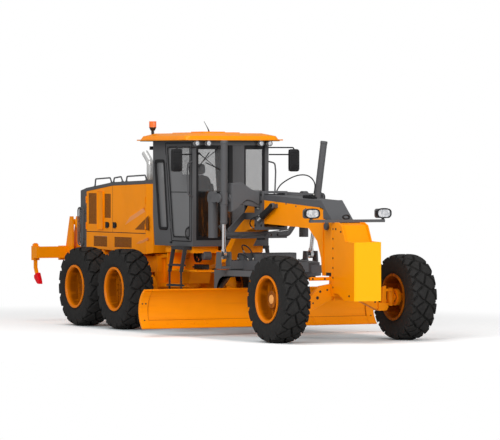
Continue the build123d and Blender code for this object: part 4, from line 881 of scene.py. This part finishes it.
def wiper(pivot, tip, blade_half):
    """An arm from its spindle to the middle of a rubber blade that lies on the glass."""
    x0 = CAB_NOSE + 0.012
    pivot, tip = np.array((x0, *pivot)), np.array((x0 - 0.004, *tip))
    arm = carried(np.linspace(pivot, tip, 4), np.array([0.009, 0.007, 0.006, 0.004]), 8)
    way = tip - pivot
    way /= np.linalg.norm(way)
    lean = np.array((0, -way[2], way[1])) * 0.25 + way
    lean /= np.linalg.norm(lean)
    blade = carried(np.stack([tip - lean * blade_half, tip, tip + lean * blade_half]) - (0.018, 0, 0),
                    0.008, 8)
    spindle = turned(lathe([(-0.02, 0.0), (-0.02, 0.02), (0.008, 0.018), (0.012, 0.0)], count=16),
                     "Z", -90)
    return join(arm, blade, moved(flipped(spindle), pivot))


wipers = join(wiper((-0.585, 2.915), (-0.30, 2.70), 0.17), wiper((-0.22, 3.01), (-0.50, 2.80), 0.17),
              wiper((0.30, 1.53), (0.42, 1.83), 0.22))
piece("wipers", wipers, black, smooth=50)


# Inside: a dark floor, a suspension seat covered with grey cloth, armrests, and the wheel and levers on
# a leaning console. One mesh of hard parts stands for the plain block, with three stuffed pads on it.

lining = Finish("cab lining", (0.034, 0.034, 0.036), 0.8, slot="black_plastic", Specular_IOR_Level=0.2)
lining.bump(lining.noise(180, 3), 0.0008, 0.4)
seat_grey = Finish("seat cloth", (0.105, 0.106, 0.110), 0.95, slot="dark_grey", Specular_IOR_Level=0.15,
                   Sheen_Weight=0.3)
x, y, z = seat_grey.where()
weave = (x * 1300).sine() * (y * 1300).sine() + (z * 1300).sine() * 0.5
seat_grey.paint(seat_grey.mix(weave.ramp(-0.8, 0.8), seat_grey.shade(0.85), seat_grey.shade(1.15)))
seat_grey.bump(weave, 0.0006, 0.4)


def pad(x, y, z, square=0.4):
    """A stuffed form between limits: a ball squared by powers of its sines, so every face is crowned."""
    lift = np.linspace(-math.pi / 2, math.pi / 2, 29)[:, None]
    turn = np.linspace(0, 2 * math.pi, 56, endpoint=False)[None]

    def squared(value, power):
        return np.sign(value) * np.abs(value) ** power

    ring = squared(np.cos(lift), square)
    shares = [ring * squared(np.cos(turn), square), ring * squared(np.sin(turn), square),
              squared(np.sin(lift), square) + 0 * turn]
    points = np.stack([(a + b) / 2 + (b - a) / 2 * share for (a, b), share in zip((x, y, z), shares)], -1)
    return grid(points, wrap_columns=True, flip=True)


FLOOR_Z = 1.4853
SEAT_BACK = (-0.63, 0, 1.89)
BACK_LEAN = -9.5
base = [slab((-0.78, 0.40), (-0.56, 0.56), (FLOOR_Z, FLOOR_Z + 0.014), 0.004, "z"),
        slab((-0.62, -0.26), (-0.20, 0.20), (FLOOR_Z, 1.56), 0.02, "z"),
        slab((0.06, 0.21), (-0.08, 0.08), (FLOOR_Z, FLOOR_Z + 0.095), 0.01, "z")]
for z0 in np.arange(1.56, 1.74, 0.032):
    base.append(slab((-0.60, -0.28), (-0.18, 0.18), (z0, z0 + 0.028), 0.012, "z"))
armrest = slab((-0.64, -0.26), (0.27, 0.33), (1.98, 2.04), 0.02)
armrest_post = slab((-0.56, -0.50), (0.245, 0.30), (1.86, 1.99), 0.01, "z")
base += [both(armrest), both(armrest_post)]
column = turned(slab((0.005, 0.105), (-0.055, 0.055), (1.52, 2.14), 0.02, "z"), "Y", -11, (0.13, 0, 1.55))
dash = slab((0.0, 0.19), (-0.17, 0.17), (1.99, 2.12), 0.03, "y")
levers = [carried([(0.05, y0, 2.10), (0.02, y0, 2.20), (-0.01, y0, 2.24)],
                  np.array([0.008, 0.007, 0.016]), 10) for y0 in (-0.15, -0.11, 0.11, 0.15)]
hoop_turn = np.linspace(0, 2 * math.pi, 49)
hoop = carried(np.stack([0.19 * np.cos(hoop_turn), 0.19 * np.sin(hoop_turn), 0 * hoop_turn], -1), 0.016,
               12, ends=False)
spoke = slab((-0.185, 0.185), (-0.018, 0.018), (-0.009, 0.009), 0.006)
wheel = moved(turned(join(hoop, spoke), "Y", -28), (-0.06, 0, 2.19))
post = carried([(0.02, 0, 2.06), (-0.06, 0, 2.185)], 0.032, 16)
controls = piece("cab_controls", join(*base, column, dash, *levers, wheel, post), lining, smooth=45)
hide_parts("operator_station")
cushion = pad((-0.68, -0.18), (-0.25, 0.25), (1.745, 1.895))
bolsters = both(pad((-0.66, -0.20), (0.175, 0.262), (1.76, 1.93)))
back = turned(pad((-0.70, -0.57), (-0.235, 0.235), (1.87, 2.56)), "Y", BACK_LEAN, SEAT_BACK)
wings = both(turned(pad((-0.68, -0.53), (0.165, 0.250), (1.93, 2.42)), "Y", BACK_LEAN, SEAT_BACK))
head_rest = turned(pad((-0.675, -0.575), (-0.14, 0.14), (2.585, 2.755)), "Y", BACK_LEAN, SEAT_BACK)
pads = {"seat_cushion": join(cushion, bolsters), "seat_back": join(back, wings), "head_rest": head_rest}
for name, shape in pads.items():
    piece(name, shape, seat_grey, smooth=60)


# Roof: one orange moulding with a raised hatch panel, its fascia drawn in below the gutter.
# The aerial stands on the hatch; the beacon is a black cone with an amber lens.

roof_paint = enamel("roof paint", (0.98, 0.30, 0.0), 0.36, slot="body_orange", gloss=0.2)
dress(roof_paint, "cab_roof")
roof_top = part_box("cab_roof")[1][2]
hatch = slab((-0.56, -0.14), (-0.21, 0.21), (roof_top - 0.004, roof_top + 0.014), 0.006, "z")
piece("roof_hatch", hatch, orange)
gutter = slab((-1.195, 0.605), (-0.90, 0.90), (3.130, 3.149), 0.007, "z")
piece("roof_gutter", gutter, roof_paint)
# A black strip under the gutter is painted shadow.
shadow_lip = slab((-1.15, 0.56), (-0.86, 0.86), (3.119, 3.131), 0.003, "z")
piece("roof_painted_shadow", shadow_lip, black)
aerial = carried(
    np.array([(-0.32, 0, roof_top + 0.008), (-0.33, 0, roof_top + 0.04),
              (-0.40, 0, roof_top + 0.105), (-0.495, 0, roof_top + 0.185)]),
    np.array([0.016, 0.010, 0.006, 0.004]), 10)
piece("aerial", aerial, black)
beacon_finish = Finish("amber beacon", (0.93, 0.19, 0.03), 0.22, Specular_IOR_Level=0.5)
x, y, z = beacon_finish.where()
collar = (z * -1 + 3.357).ramp(0.0, 0.001)
ribs = ((x + 1.10) * 260).sine() * 0.5 + ((y + 0.65) * 260).sine() * 0.5
beacon_finish.paint(beacon_finish.mix(collar, (0.93, 0.19, 0.03, 1), (0.012, 0.012, 0.013, 1)))
beacon_finish.bump(ribs, 0.002, 0.4)
dress(beacon_finish, "beacon")


# Working lamps: round steel bowls below the roof's front edge, with one lamp at each rear corner.
# They are pressed and painted, and their lenses are solids of their own.

WORK_LAMP_Y = (-0.68, -0.47, 0.50, 0.66)
bowl_steel = Finish("lamp bowls", (0.10, 0.10, 0.105), 0.4, slot="black_plastic")
rings = []
for y0 in WORK_LAMP_Y:
    ring = lathe([(0.0, 0.030), (0.008, 0.032), (0.012, 0.039), (0.010, 0.0455), (0.0, 0.047),
                  (-0.05, 0.040), (-0.06, 0.0)], count=28)
    ring = turned(flipped(ring), "Z", -90)
    rings.append(moved(ring, (0.592, y0, 3.08)))
piece("work_lamp_bowls", join(*rings), bowl_steel, smooth=50)
rear_lamp = join(slab((-1.20, -1.13), (-0.66, -0.60), (2.98, 3.04), 0.006),
                 slab((-1.135, -1.07), (-0.64, -0.615), (3.0, 3.02), 0.003))
piece("rear_work_lamps", both(rear_lamp), black)


# Mirrors: tall black shells on bent tube arms, ribbed over the front, glass at the back.

MIRROR = (0.64, 1.08)
MIRROR_ARM_Z = 3.015
outline = rounded([(MIRROR[1] - 0.095, 2.62), (MIRROR[1] + 0.095, 2.62), (MIRROR[1] + 0.095, 2.99),
                   (MIRROR[1] - 0.095, 2.99)], 0.055, 8)
shell = turned(plate(outline, -MIRROR[0] - 0.028, -MIRROR[0] + 0.028, 0.010), "Z", 90)
arm = carried(bent([(0.432, 0.7113, MIRROR_ARM_Z), (MIRROR[0], 0.7113, MIRROR_ARM_Z),
                    (*MIRROR, MIRROR_ARM_Z), (*MIRROR, 2.98)], 0.03), 0.011)
low_arm = carried([(0.45, 0.7153, 2.90), (0.545, 0.868, 2.90), (0.64, 1.02, 2.90)], 0.011)
mirrors = piece("mirror_shells", both(join(shell, arm, low_arm)), black, smooth=50)
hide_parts("mirrors")
ribs = [slab((MIRROR[0] + 0.0265, MIRROR[0] + 0.034), (MIRROR[1] - 0.07, MIRROR[1] + 0.07),
             (z0, z0 + 0.012), 0.003) for z0 in np.arange(2.66, 2.95, 0.045)]
piece("mirror_ribs", both(join(*ribs)), black)
mirror_glass = Finish("mirror glass", (0.8, 0.81, 0.83), 0.04, slot="glass", Metallic=1.0)
mirror_glass.roughen(mirror_glass.noise(12, 2) * 0.04 + 0.03)
pane = slab((MIRROR[0] - 0.0295, MIRROR[0] - 0.0275), (MIRROR[1] - 0.085, MIRROR[1] + 0.085),
            (2.63, 2.98), 0.001)
piece("mirror_panes", both(pane), mirror_glass)


# Steps: two flat stiles with punched treads, hung on rubber-like straps below the cab floor.

step_grey = enamel("step grey", (0.045, 0.045, 0.047), 0.6, slot="dark_grey")
dress(step_grey, "ladders")
TREADS = [(0.800, 1.090), (0.826, 0.760), (0.826, 0.445)]
teeth = []
for y0, z0 in TREADS:
    for dy in (-0.045, -0.015, 0.015, 0.045):
        teeth.append(slab((-0.10, 0.28), (y0 + dy - 0.006, y0 + dy + 0.006), (z0 + 0.0115, z0 + 0.020),
                          0.002))
piece("tread_teeth", both(join(*teeth)), step_grey)


# Under the cab: the valve bank, the cooling fan, a filter drum and guard plates hang on the front frame.
# They show between the steps, the cab floor and the drawbar.

fan_hub = lathe([(0.0, 0.0), (0.0, 0.03), (0.02, 0.034), (0.05, 0.03), (0.055, 0.0)], count=24)
blades = [turned(slab((0.03, 0.105), (0.01, 0.016), (-0.022, 0.022), 0.003), "Y", 60 * i)
          for i in range(6)]
shroud = lathe([(0.0, 0.112), (0.045, 0.112), (0.05, 0.118), (0.045, 0.126), (0.0, 0.126), (0.0, 0.112)],
               (0, 0, 0), 40)
fan = join(flipped(fan_hub), *blades, flipped(shroud))
piece("cooling_fan", mirrored(moved(fan, (0.16, 0.42, 1.255))), black, smooth=45)
drum = lathe([(0.0, 0.0), (0.0, 0.070), (0.12, 0.070), (0.125, 0.06), (0.125, 0.0)], count=36)
piece("filter_drum", mirrored(moved(flipped(drum), (0.36, 0.33, 1.245))), grey)
valves = [slab((0.05 + 0.062 * i, 0.105 + 0.062 * i), (0.34, 0.46), (1.02, 1.10), 0.006) for i in range(5)]
spools = [slab((0.066 + 0.062 * i, 0.09 + 0.062 * i), (0.44, 0.50), (1.045, 1.07), 0.004)
          for i in range(5)]
piece("valve_bank", mirrored(join(*valves, *spools)), bolt_black)
guard = [slab((-0.62, 0.46), (0.30, 0.62), (0.985, 1.015), 0.005),
         slab((-0.62, -0.59), (0.30, 0.62), (1.0, 1.395), 0.004)]
piece("belly_guards", both(join(*guard)), orange)


# Saddle and lift cylinders: a grey casting clamped round the gooseneck, with a trunnion fork on each
# side for the lift cylinder, arched castings between them, and small lock and shift cylinders.

dress(grey, "saddle", *[f"lift_barrel_{side}" for side in SIDES])
chrome = Finish("hard chrome", (0.80, 0.80, 0.81), 0.14, slot="rod_chrome", Metallic=1.0)
chrome.roughen(chrome.noise(70, 2) * 0.06 + 0.10)
dress(chrome, *[f"lift_rod_{side}" for side in SIDES], "pitch_rod", "ripper_rod")
SADDLE_X = 1.86
COLLAR_Y = 0.2303
# the casting's outline on the left, as y and z: level at the neck, raised over the trunnion, arched below
GULL = [(0.236, 2.300), (0.38, 2.335), (0.56, 2.450), (0.748, 2.435), (0.748, 1.985), (0.665, 2.025),
        (0.57, 2.115), (0.47, 2.160), (0.36, 2.145), (0.236, 2.085)]


def standing(outline, x0, x1, edge=0.006):
    """A plate across X whose outline is given as y and z."""
    return turned(plate(outline, -x1, -x0, edge), "Z", 90)


LOW_GULL = [(0.236, 2.250), (0.38, 2.260), (0.56, 2.265), (0.748, 2.250), *GULL[4:]]
castings = join(mirrored(standing(GULL, 1.775, 1.945, 0.02)), standing(LOW_GULL, 1.775, 1.945, 0.02))
piece("saddle_castings", castings, grey)
boss = lathe([(0.945, 0.075), (0.958, 0.073), (0.962, 0.060), (0.962, 0.0)], (1.86, 0, 2.20), 32)
piece("trunnion_caps", both(flipped(boss)), grey)
links = carried(bent([(1.395, 0.36, 1.600), (1.395, 0.56, 1.605), (1.395, 0.67, 1.76)], 0.10), 0.042, 16)
piece("bar_horns", both(links), grey, smooth=50)
collar_bolts = [(x0, COLLAR_Y - 0.001, z0) for x0 in (SADDLE_X - 0.105, SADDLE_X + 0.105)
                for z0 in (1.76, 1.87, 2.14, 2.25)]
bolts("collar_bolts", 0.016, 0.014, collar_bolts, bolt_black)


def rod_end(at, radius, width, wall=0.018):
    """A forged eye across Y: a ring with rolled edges."""
    half = width / 2
    shape = lathe([(-half, radius - wall), (-half + 0.003, radius - 0.002), (-half + 0.008, radius),
                   (half - 0.008, radius), (half - 0.003, radius - 0.002), (half, radius - wall),
                   (half, 0), (-half, 0)], at, 32)
    return flipped(shape)


def cylinder(start, end, radius, rod_share=0.55, rod_radius=0.5):
    """A small hydraulic cylinder: barrel with its end cap and gland, and the rod that leaves it."""
    start, end = np.array(start, float), np.array(end, float)
    gland = start + (end - start) * rod_share
    stops = np.array([0.0, 0.0, 0.03, 0.031, 0.90, 0.901, 0.99, 1.0, 1.0])[:, None]
    sizes = np.array([0.0, 0.92, 1.0, 0.9, 0.9, 1.0, 1.0, 0.9, 0.0]) * radius
    barrel = carried(
        start + (gland - start) * stops * 0.9999 + (gland - start) * np.arange(9)[:, None] * 1e-5,
        np.maximum(sizes, 1e-4), 20)
    rod = carried(np.stack([gland - (end - start) * 0.02, end]), radius * rod_radius, 16)
    return barrel, rod


# The black cylinder of the saddle's lock, on the right face of the gooseneck, and the pale rod of
# the centre shift below the bar.
lock_barrel, lock_rod = cylinder((2.40, -0.262, 2.075), (1.93, -0.262, 1.845), 0.058, 0.72, 0.5)
piece("lock_cylinder", lock_barrel, black, smooth=50)
piece("lock_rod", lock_rod, chrome, smooth=50)
lock_lugs = join(rod_end((2.41, -0.262, 2.08), 0.045, 0.05), rod_end((1.93, -0.262, 1.845), 0.04, 0.05))
piece("lock_eyes", lock_lugs, grey)
lock_feet = join(slab((2.37, 2.45), (-0.245, -0.188), (2.05, 2.11), 0.006),
                 slab((1.90, 1.96), (-0.245, -0.188), (1.82, 1.87), 0.006))
piece("lock_feet", lock_feet, grey)

shift_barrel, shift_rod = cylinder((1.395, -0.30, 1.578), (1.395, 0.58, 1.675), 0.040, 0.55, 0.45)
piece("shift_cylinder", shift_barrel, grey, smooth=50)
piece("shift_rod", shift_rod, chrome, smooth=50)
for side, sign in SIDES.items():
    top = np.array((1.98, sign * 0.906, 3.11))
    eye = np.array((1.74, sign * 0.790, 1.29))
    way = (eye - top) / np.linalg.norm(eye - top)
    pipe = [top + way * 0.06 + (-0.050, 0, 0), top + way * 0.10 + (-0.078, 0, 0),
            top + way * 0.62 + (-0.078, 0, 0), top + way * 0.72 + (-0.055, 0, 0)]
    piece(f"barrel_pipe_{side}", carried(bent(pipe, 0.03), 0.010, 10), black, f"lift_barrel_{side}",
          smooth=50)
    for t, grow in ((0.004, 0.004), (0.55, 0.006), (0.70, 0.004)):
        at = top + (eye - top) * t
        band = carried(np.stack([at, at + way * 0.004, at + way * 0.030, at + way * 0.034]),
                       np.array([0.055, 0.055 + grow, 0.055 + grow, 0.055]), 32)
        piece(f"barrel_band_{side}_{int(t * 100)}", band, grey, f"lift_barrel_{side}", smooth=50)


# Hoses: black rubber over wire, with crimped steel ends. One arches over the gooseneck from the saddle to
# the connector on the cover; two cross the saddle's face, and two lie over the drawbar's top.

hose_rubber = Finish("hose rubber", (0.013, 0.013, 0.0135), 0.62, Specular_IOR_Level=0.3)
hose_rubber.bump(hose_rubber.noise(300, 2), 0.0005, 0.4)
crimp = Finish("crimped steel", (0.42, 0.41, 0.38), 0.35, slot="black_plastic", Metallic=1.0)
crimp.roughen(crimp.noise(60, 2) * 0.2 + 0.25)


HOSE_D = 0.020


def hose(name, route, body, length):
    """One hose on a smooth line near its route, with a crimped ferrule at each end."""
    curve = bpy.data.curves.new(name, "CURVE")
    curve.dimensions = "3D"
    curve.bevel_depth = HOSE_D / 2
    curve.bevel_resolution = 3
    curve.resolution_u = 12
    curve.use_fill_caps = True
    line = curve.splines.new("NURBS")
    line.points.add(len(route) - 1)
    line.points.foreach_set("co", np.column_stack([route, np.ones(len(route))]).ravel())
    line.order_u = 3
    line.use_endpoint_u = True
    made = bpy.data.objects.new(name, curve)
    bpy.context.scene.collection.objects.link(made)
    curve.materials.append(hose_rubber.material)
    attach(made, body)
    ends = []
    route = np.array(route, float)
    for a, b in ((route[0], route[1]), (route[-1], route[-2])):
        way = (b - a) / np.linalg.norm(b - a)
        ends.append(carried(
            np.stack([a - way * 0.006, a, a + way * 0.018, a + way * 0.020,
                      a + way * 0.040, a + way * 0.042]),
            HOSE_D * np.array([0.5, 0.75, 0.75, 0.62, 0.62, 0.5]), 12))
    ferrules = piece(f"{name}_ends", join(*ends), crimp, body, smooth=50)


# name, route, body and length
HOSES = [
    ("hose_arc",
     [(1.66, 0.20, 2.275), (1.69, 0.215, 2.36), (1.85, 0.24, 2.46), (2.25, 0.26, 2.57), (2.66, 0.25, 2.57),
      (2.94, 0.22, 2.45), (2.97, 0.185, 2.29), (2.97, 0.165, 2.233)], "front", 1.61),
    ("hose_saddle_front",
     [(1.50, -0.235, 2.27), (1.53, -0.29, 2.36), (1.64, -0.33, 2.36), (1.72, -0.33, 2.20),
      (1.80, -0.30, 2.06), (1.90, -0.24, 2.03)], "front", 0.65),
    ("hose_saddle_low",
     [(1.96, -0.236, 1.93), (1.93, -0.30, 1.90), (1.84, -0.32, 1.88), (1.74, -0.31, 1.84),
      (1.66, -0.28, 1.76), (1.62, -0.205, 1.72)], "front", 0.47),
    ("hose_drawbar_loop",
     [(1.70, -0.40, 1.325), (1.70, -0.44, 1.40), (1.78, -0.48, 1.45), (1.93, -0.48, 1.44),
      (2.03, -0.45, 1.37), (2.05, -0.42, 1.26), (2.05, -0.42, 1.205)], "drawbar", 0.61),
    ("hose_drawbar_low",
     [(1.68, -0.50, 1.205), (1.69, -0.51, 1.28), (1.76, -0.53, 1.31), (1.88, -0.52, 1.30),
      (1.97, -0.49, 1.26), (1.98, -0.47, 1.205)], "drawbar", 0.42),
]
for row in HOSES:
    hose(*row)

grab = carried(bent([(0.455, 0.69, 2.79), (0.50, 0.80, 2.76), (0.50, 0.815, 2.62), (0.50, 0.80, 2.25),
                     (0.46, 0.70, 2.21)], 0.05), 0.013, 12)
piece("grab_rails", both(grab), grey, smooth=50)


# Drawbar and circle: grey welded plate under the gooseneck, over an orange tilt frame. A housing and
# bolts stand on the drawbar, and a shield covers each arm of the circle.

dress(grey, "drawbar", "circle", "pitch_barrel", "ripper_barrel")
dress(orange, "tilt_frame")
DRAWBAR_TOP = 1.2003
house = join(slab((1.645, 1.835), (-0.48, 0.48), (1.19, 1.318), 0.012),
             slab((1.50, 1.66), (-0.22, 0.22), (1.185, 1.285), 0.02),
             slab((1.83, 1.97), (-0.34, -0.16), (1.185, 1.30), 0.03, "z"))
piece("drawbar_house", house, grey, "drawbar")
plate_bolts = [(x0, y0, DRAWBAR_TOP - 0.0005) for x0 in (1.70, 1.78) for y0 in (0.66, 0.55)]
bolts("drawbar_bolts", 0.014, 0.012, plate_bolts, bolt_black, "drawbar", turn=("X", 90))


ARM_SHIELD = [(1.20, 1.045), (1.90, 1.045), (1.90, 0.955), (1.50, 0.945), (1.38, 0.90), (1.31, 0.81),
              (1.28, 0.725), (1.20, 0.725)]
shield = plate(ARM_SHIELD, 0.655, 0.685, 0.004)
piece("arm_shields", both(shield), grey, "circle")


# Moldboard: a curved plate of orange steel, with cutting edges and end bits held by plough bolts.
# The working face carries darker streaks, stretched along its length.

blade_paint = enamel("blade orange", ORANGE, 0.38, slot="blade_orange", gloss=0.12)
x, y, z = blade_paint.where()
dark_streaks = blade_paint.noise(6, 4, (1, 0.15, 3)).ramp(0.5, 0.8)
blade_paint.paint(blade_paint.mix(dark_streaks * 0.45, blade_paint.tone, (0.80, 0.215, 0.0, 1)))
dress(blade_paint, "moldboard")
BLADE_HALF = 2.135
END_BIT_W = 0.145
# the face's section, an arc through its edge, its deepest point and its top, as x and z
EDGE, DEEP, TOP = np.array((1.54, 0.125)), np.array((1.41632, 0.46079)), np.array((1.62, 0.755))
rows = np.array([DEEP - EDGE, TOP - EDGE]) * 2
ARC = np.linalg.solve(rows, [DEEP @ DEEP - EDGE @ EDGE, TOP @ TOP - EDGE @ EDGE])
ARC_R = np.linalg.norm(EDGE - ARC)
ARC_FROM = math.atan2(EDGE[1] - ARC[1], EDGE[0] - ARC[0]) % (2 * math.pi)
ARC_TO = math.atan2(TOP[1] - ARC[1], TOP[0] - ARC[0])


def face_spot(share, proud):
    """A point at a share of the face's height, that stands proud of it, and the angle of its arc."""
    angle = ARC_FROM + (ARC_TO - ARC_FROM) * share
    return ARC + (ARC_R - proud) * np.array((math.cos(angle), math.sin(angle))), angle


def face_plate(y0, y1, shares, thick, chamfer=0.004):
    """A plate on the face between two shares of its height, as stations of one ring each."""
    stations = []
    for share in np.linspace(*shares, 15):
        ring = []
        for proud, y in ((-0.002, y0), (thick - chamfer, y0), (thick, y0 + chamfer), (thick, y1 - chamfer),
                         (thick - chamfer, y1), (-0.002, y1)):
            at = face_spot(share, proud)[0]
            ring.append((at[0], y, at[1]))
        stations.append(ring)
    stations = np.array(stations)
    caps = [np.broadcast_to(stations[k].mean(0), (1, 6, 3)) for k in (0, -1)]
    return grid(np.concatenate([caps[0], stations, caps[1]]), wrap_columns=True, flip=True)


piece("cutting_edges",
      join(*[face_plate(y0 + 0.001, y0 + 0.9945, (0, 0.21), 0.016) for y0 in (-1.99, -0.995, 0.0, 0.995)]),
      blade_paint, "blade", smooth=20)
end_bit = face_plate(BLADE_HALF - END_BIT_W, BLADE_HALF - 0.001, (0, 0.93), 0.022, 0.006)
seam = face_plate(BLADE_HALF - END_BIT_W - 0.007, BLADE_HALF - END_BIT_W + 0.001, (0, 0.97), 0.012, 0.001)
seam_shade = enamel("shaded seam", (0.36, 0.095, 0.0), 0.6, slot="blade_orange")
edge_seam = face_plate(-1.985, 1.985, (0.212, 0.224), 0.006, 0.001)
piece("end_bit_seams", join(both(seam), edge_seam), seam_shade, "blade", smooth=0)
top_band = face_plate(-BLADE_HALF + 0.004, BLADE_HALF - 0.004, (0.945, 0.99), 0.012, 0.004)
piece("top_band", top_band, blade_paint, "blade", smooth=20)
piece("end_bits", both(end_bit), blade_paint, "blade", smooth=20)


def plough_head(share, y, proud):
    at, angle = face_spot(share, proud - 0.001)
    head = turned(lathe([(0.0, 0.014), (0.004, 0.0135), (0.006, 0.010), (0.006, 0.0)], count=16), "Z", -90)
    head = turned(flipped(head), "Y", math.degrees(angle - math.pi))
    return moved(head, (at[0], y, at[1]))


heads = [plough_head(0.11, y0, 0.016) for y0 in np.arange(-1.92, 1.93, 0.24)]
piece("plough_bolts", join(*heads), blade_paint, "blade")
heads = [plough_head(share, sign * y0, 0.022) for sign in SIDES.values()
         for share, y0 in ((0.60, 2.095), (0.60, 2.035), (0.21, 2.065))]
piece("end_bit_bolts", join(*heads), bolt_black, "blade")


# Front axle and knuckles: orange castings with webs in front, kingpin caps, seals at the hubs, and the
# bar that ties the leaning wheels.

WEB = [(0.18, 0.67), (0.18, 0.895), (0.40, 0.86), (0.59, 0.71), (0.625, 0.58), (0.60, 0.47)]
piece("axle_webs", both(standing(WEB, 4.146, 4.263, 0.012)), orange)
# The holes through the webs are black discs of painted shade.
WEB_HOLES = [(0.423, 0.776, 0.020), (0.472, 0.680, 0.026), (0.30, 0.80, 0.016), (0.55, 0.60, 0.014)]
painted_hole_shade = [moved(turned(lathe([(0.0, 0.0), (0.0, r), (0.0015, r), (0.0015, 0.0)], count=24), "Z", -90),
               (4.2625, y0, z0)) for y0, z0, r in WEB_HOLES]
painted_hole_shade = [flipped(hole) for hole in painted_hole_shade]
piece("web_holes", both(join(*painted_hole_shade)), black)
lean_bar = slab((4.232, 4.277), (-0.61, 0.61), (0.945, 1.000), 0.010, "y")
piece("lean_bar", lean_bar, orange)
bolts("lean_bar_pins", 0.012, 0.012, [(4.2765, 0.35, 0.972), (4.2765, 0.56, 0.972)], bolt_black,
      turn=AHEAD)
for side, sign in SIDES.items():
    cap = turned(lathe([(0.0, 0.042), (0.006, 0.042), (0.010, 0.036), (0.010, 0.0)], count=32), "X", 90)
    cap = flipped(cap)
    piece(f"kingpin_cap_{side}", moved(cap, (4.2, sign * 0.86, 0.8035)), orange, f"lean_{side}")
    boot = carried([(4.2, sign * 0.925, 0.669), (4.2, sign * 0.935, 0.669), (4.2, sign * 0.945, 0.669)],
                   np.array([0.064, 0.068, 0.064]), 32)
    piece(f"knuckle_seal_{side}", boot, bolt_black, f"steer_{side}", smooth=50)
pin_cap = turned(lathe([(0.0, 0.06), (0.008, 0.06), (0.014, 0.05), (0.014, 0.0)], count=32), "Z", -90)
piece("axle_pin_cap", moved(flipped(pin_cap), (4.2748, 0, 0.79)), bolt_black)


# Ripper: a heavy beam with three shanks, held by a parallelogram behind the frame.
# Cast tooth caps are sprayed red, and round heads close the ends of its pins.

dress(orange, "ripper_arms", "ripper_links", "ripper_beam")
red = enamel("tooth red", (0.78, 0.004, 0.012), 0.42, slot="tooth_red")
dress(red, "ripper_teeth")
TOOTH = [(-4.935, 0.80), (-4.835, 0.845), (-4.765, 0.72), (-4.745, 0.648), (-4.80, 0.652), (-4.93, 0.745)]
piece("tooth_caps", join(*[plate(TOOTH, y0 - 0.042, y0 + 0.042, 0.008) for y0 in (-1.04, 0.0, 1.04)]),
      red, "ripper_beam")
pins = []
for x0, z0, radius in ((-4.08, 0.80, 0.034), (-4.64, 1.12, 0.034), (-4.075, 1.42, 0.034)):
    head = lathe([(0.0, radius), (0.010, radius), (0.014, radius * 0.8), (0.014, 0.0)], (x0, 0.4945, z0),
                 28)
    pins.append(flipped(head))
piece("ripper_pin_heads", both(join(pins[0], pins[2])), bolt_black, "rear")
piece("beam_pin_heads", both(pins[1]), bolt_black, "ripper_beam")


# The room: white paper under and behind the machine, soft light from above and from the camera's side.
# The paper is shaded as lit, and darkened by a painted shadow where the camera sees it under the machine;
# it fades to plain white where the camera sees it far from the machine.

ROOM_HALF = 80
floor_mesh = bpy.data.meshes.new("floor")
floor_mesh.from_pydata([(-ROOM_HALF, -ROOM_HALF, 0), (ROOM_HALF, -ROOM_HALF, 0), (ROOM_HALF, ROOM_HALF, 0),
                        (-ROOM_HALF, ROOM_HALF, 0)], [], [(0, 1, 2, 3)])
floor = bpy.data.objects.new("floor", floor_mesh)
bpy.context.scene.collection.objects.link(floor)
FLOOR_ALBEDO = 0.62
FLOOR_SEEN = 1.12
FADE_FROM, FADE_TO = 4.5, 9.0
paper = Finish("floor paper", (FLOOR_ALBEDO,) * 3, 1.0, Specular_IOR_Level=0.0)
seen = paper.add("ShaderNodeLightPath")
x, y, z = paper.where()
along, over = (x - 0.7) * (1 / 4.7), y * (1 / 1.65)
# painted shadow: the paper is darker where the camera sees it under the machine
painted_floor_shadow = (along * along * along * along * -1 - over * over * over * over + 1).ramp(0.0, 0.7)
seen_with_painted_shadow = paper.mix(painted_floor_shadow, (FLOOR_SEEN,) * 3 + (1,),
                tuple(FLOOR_SEEN * c for c in (0.60, 0.655, 0.675)) + (1,))
paper.paint(paper.mix(seen, (FLOOR_ALBEDO,) * 3 + (1,), seen_with_painted_shadow))
far = (x * x * 0.55 + y * y).ramp(FADE_FROM ** 2, FADE_TO ** 2)
white = paper.add("ShaderNodeEmission", inputs={"Color": (1, 1, 1, 1), "Strength": 1.0})
blend = paper.add("ShaderNodeMixShader", inputs={0: far * seen, 1: Term(paper, paper.shader.outputs[0]),
                                                 2: white})
paper.tree.links.new(blend.socket, paper.tree.nodes["Material Output"].inputs["Surface"])
floor_mesh.materials.append(paper.material)

SKY_LIGHT = 0.40
world = bpy.data.worlds.new("studio")
bpy.context.scene.world = world
world.use_nodes = True
sky = world.node_tree
background = sky.nodes["Background"]
ray = sky.nodes.new("ShaderNodeLightPath")
seen = sky.nodes.new("ShaderNodeMath")
seen.operation = "MAXIMUM"
sky.links.new(ray.outputs["Is Camera Ray"], seen.inputs[0])
sky.links.new(ray.outputs["Is Transmission Ray"], seen.inputs[1])
strength = sky.nodes.new("ShaderNodeMapRange")
strength.inputs["To Min"].default_value = SKY_LIGHT
strength.inputs["To Max"].default_value = 1.0
sky.links.new(seen.outputs[0], strength.inputs["Value"])
sky.links.new(strength.outputs[0], background.inputs["Strength"])
background.inputs["Color"].default_value = (1, 1, 1, 1)

# name, place, size, power
LAMPS = [
    ("key", (20, -22, 15), 14, 5200),
    ("front", (28, 4, 9), 14, 2600),
    ("top", (0, -4, 24), 14, 1600),
]
for name, place, size, power in LAMPS:
    light = bpy.data.lights.new(name, "AREA")
    light.size = size
    light.energy = power
    lamp_object = bpy.data.objects.new(name, light)
    lamp_object.location = place
    lamp_object.rotation_euler = (Vector((0.5, 0,
                                          1.2)) - Vector(place)).to_track_quat("-Z", "Y").to_euler()
    bpy.context.scene.collection.objects.link(lamp_object)

bpy.context.scene.view_settings.view_transform = "Standard"
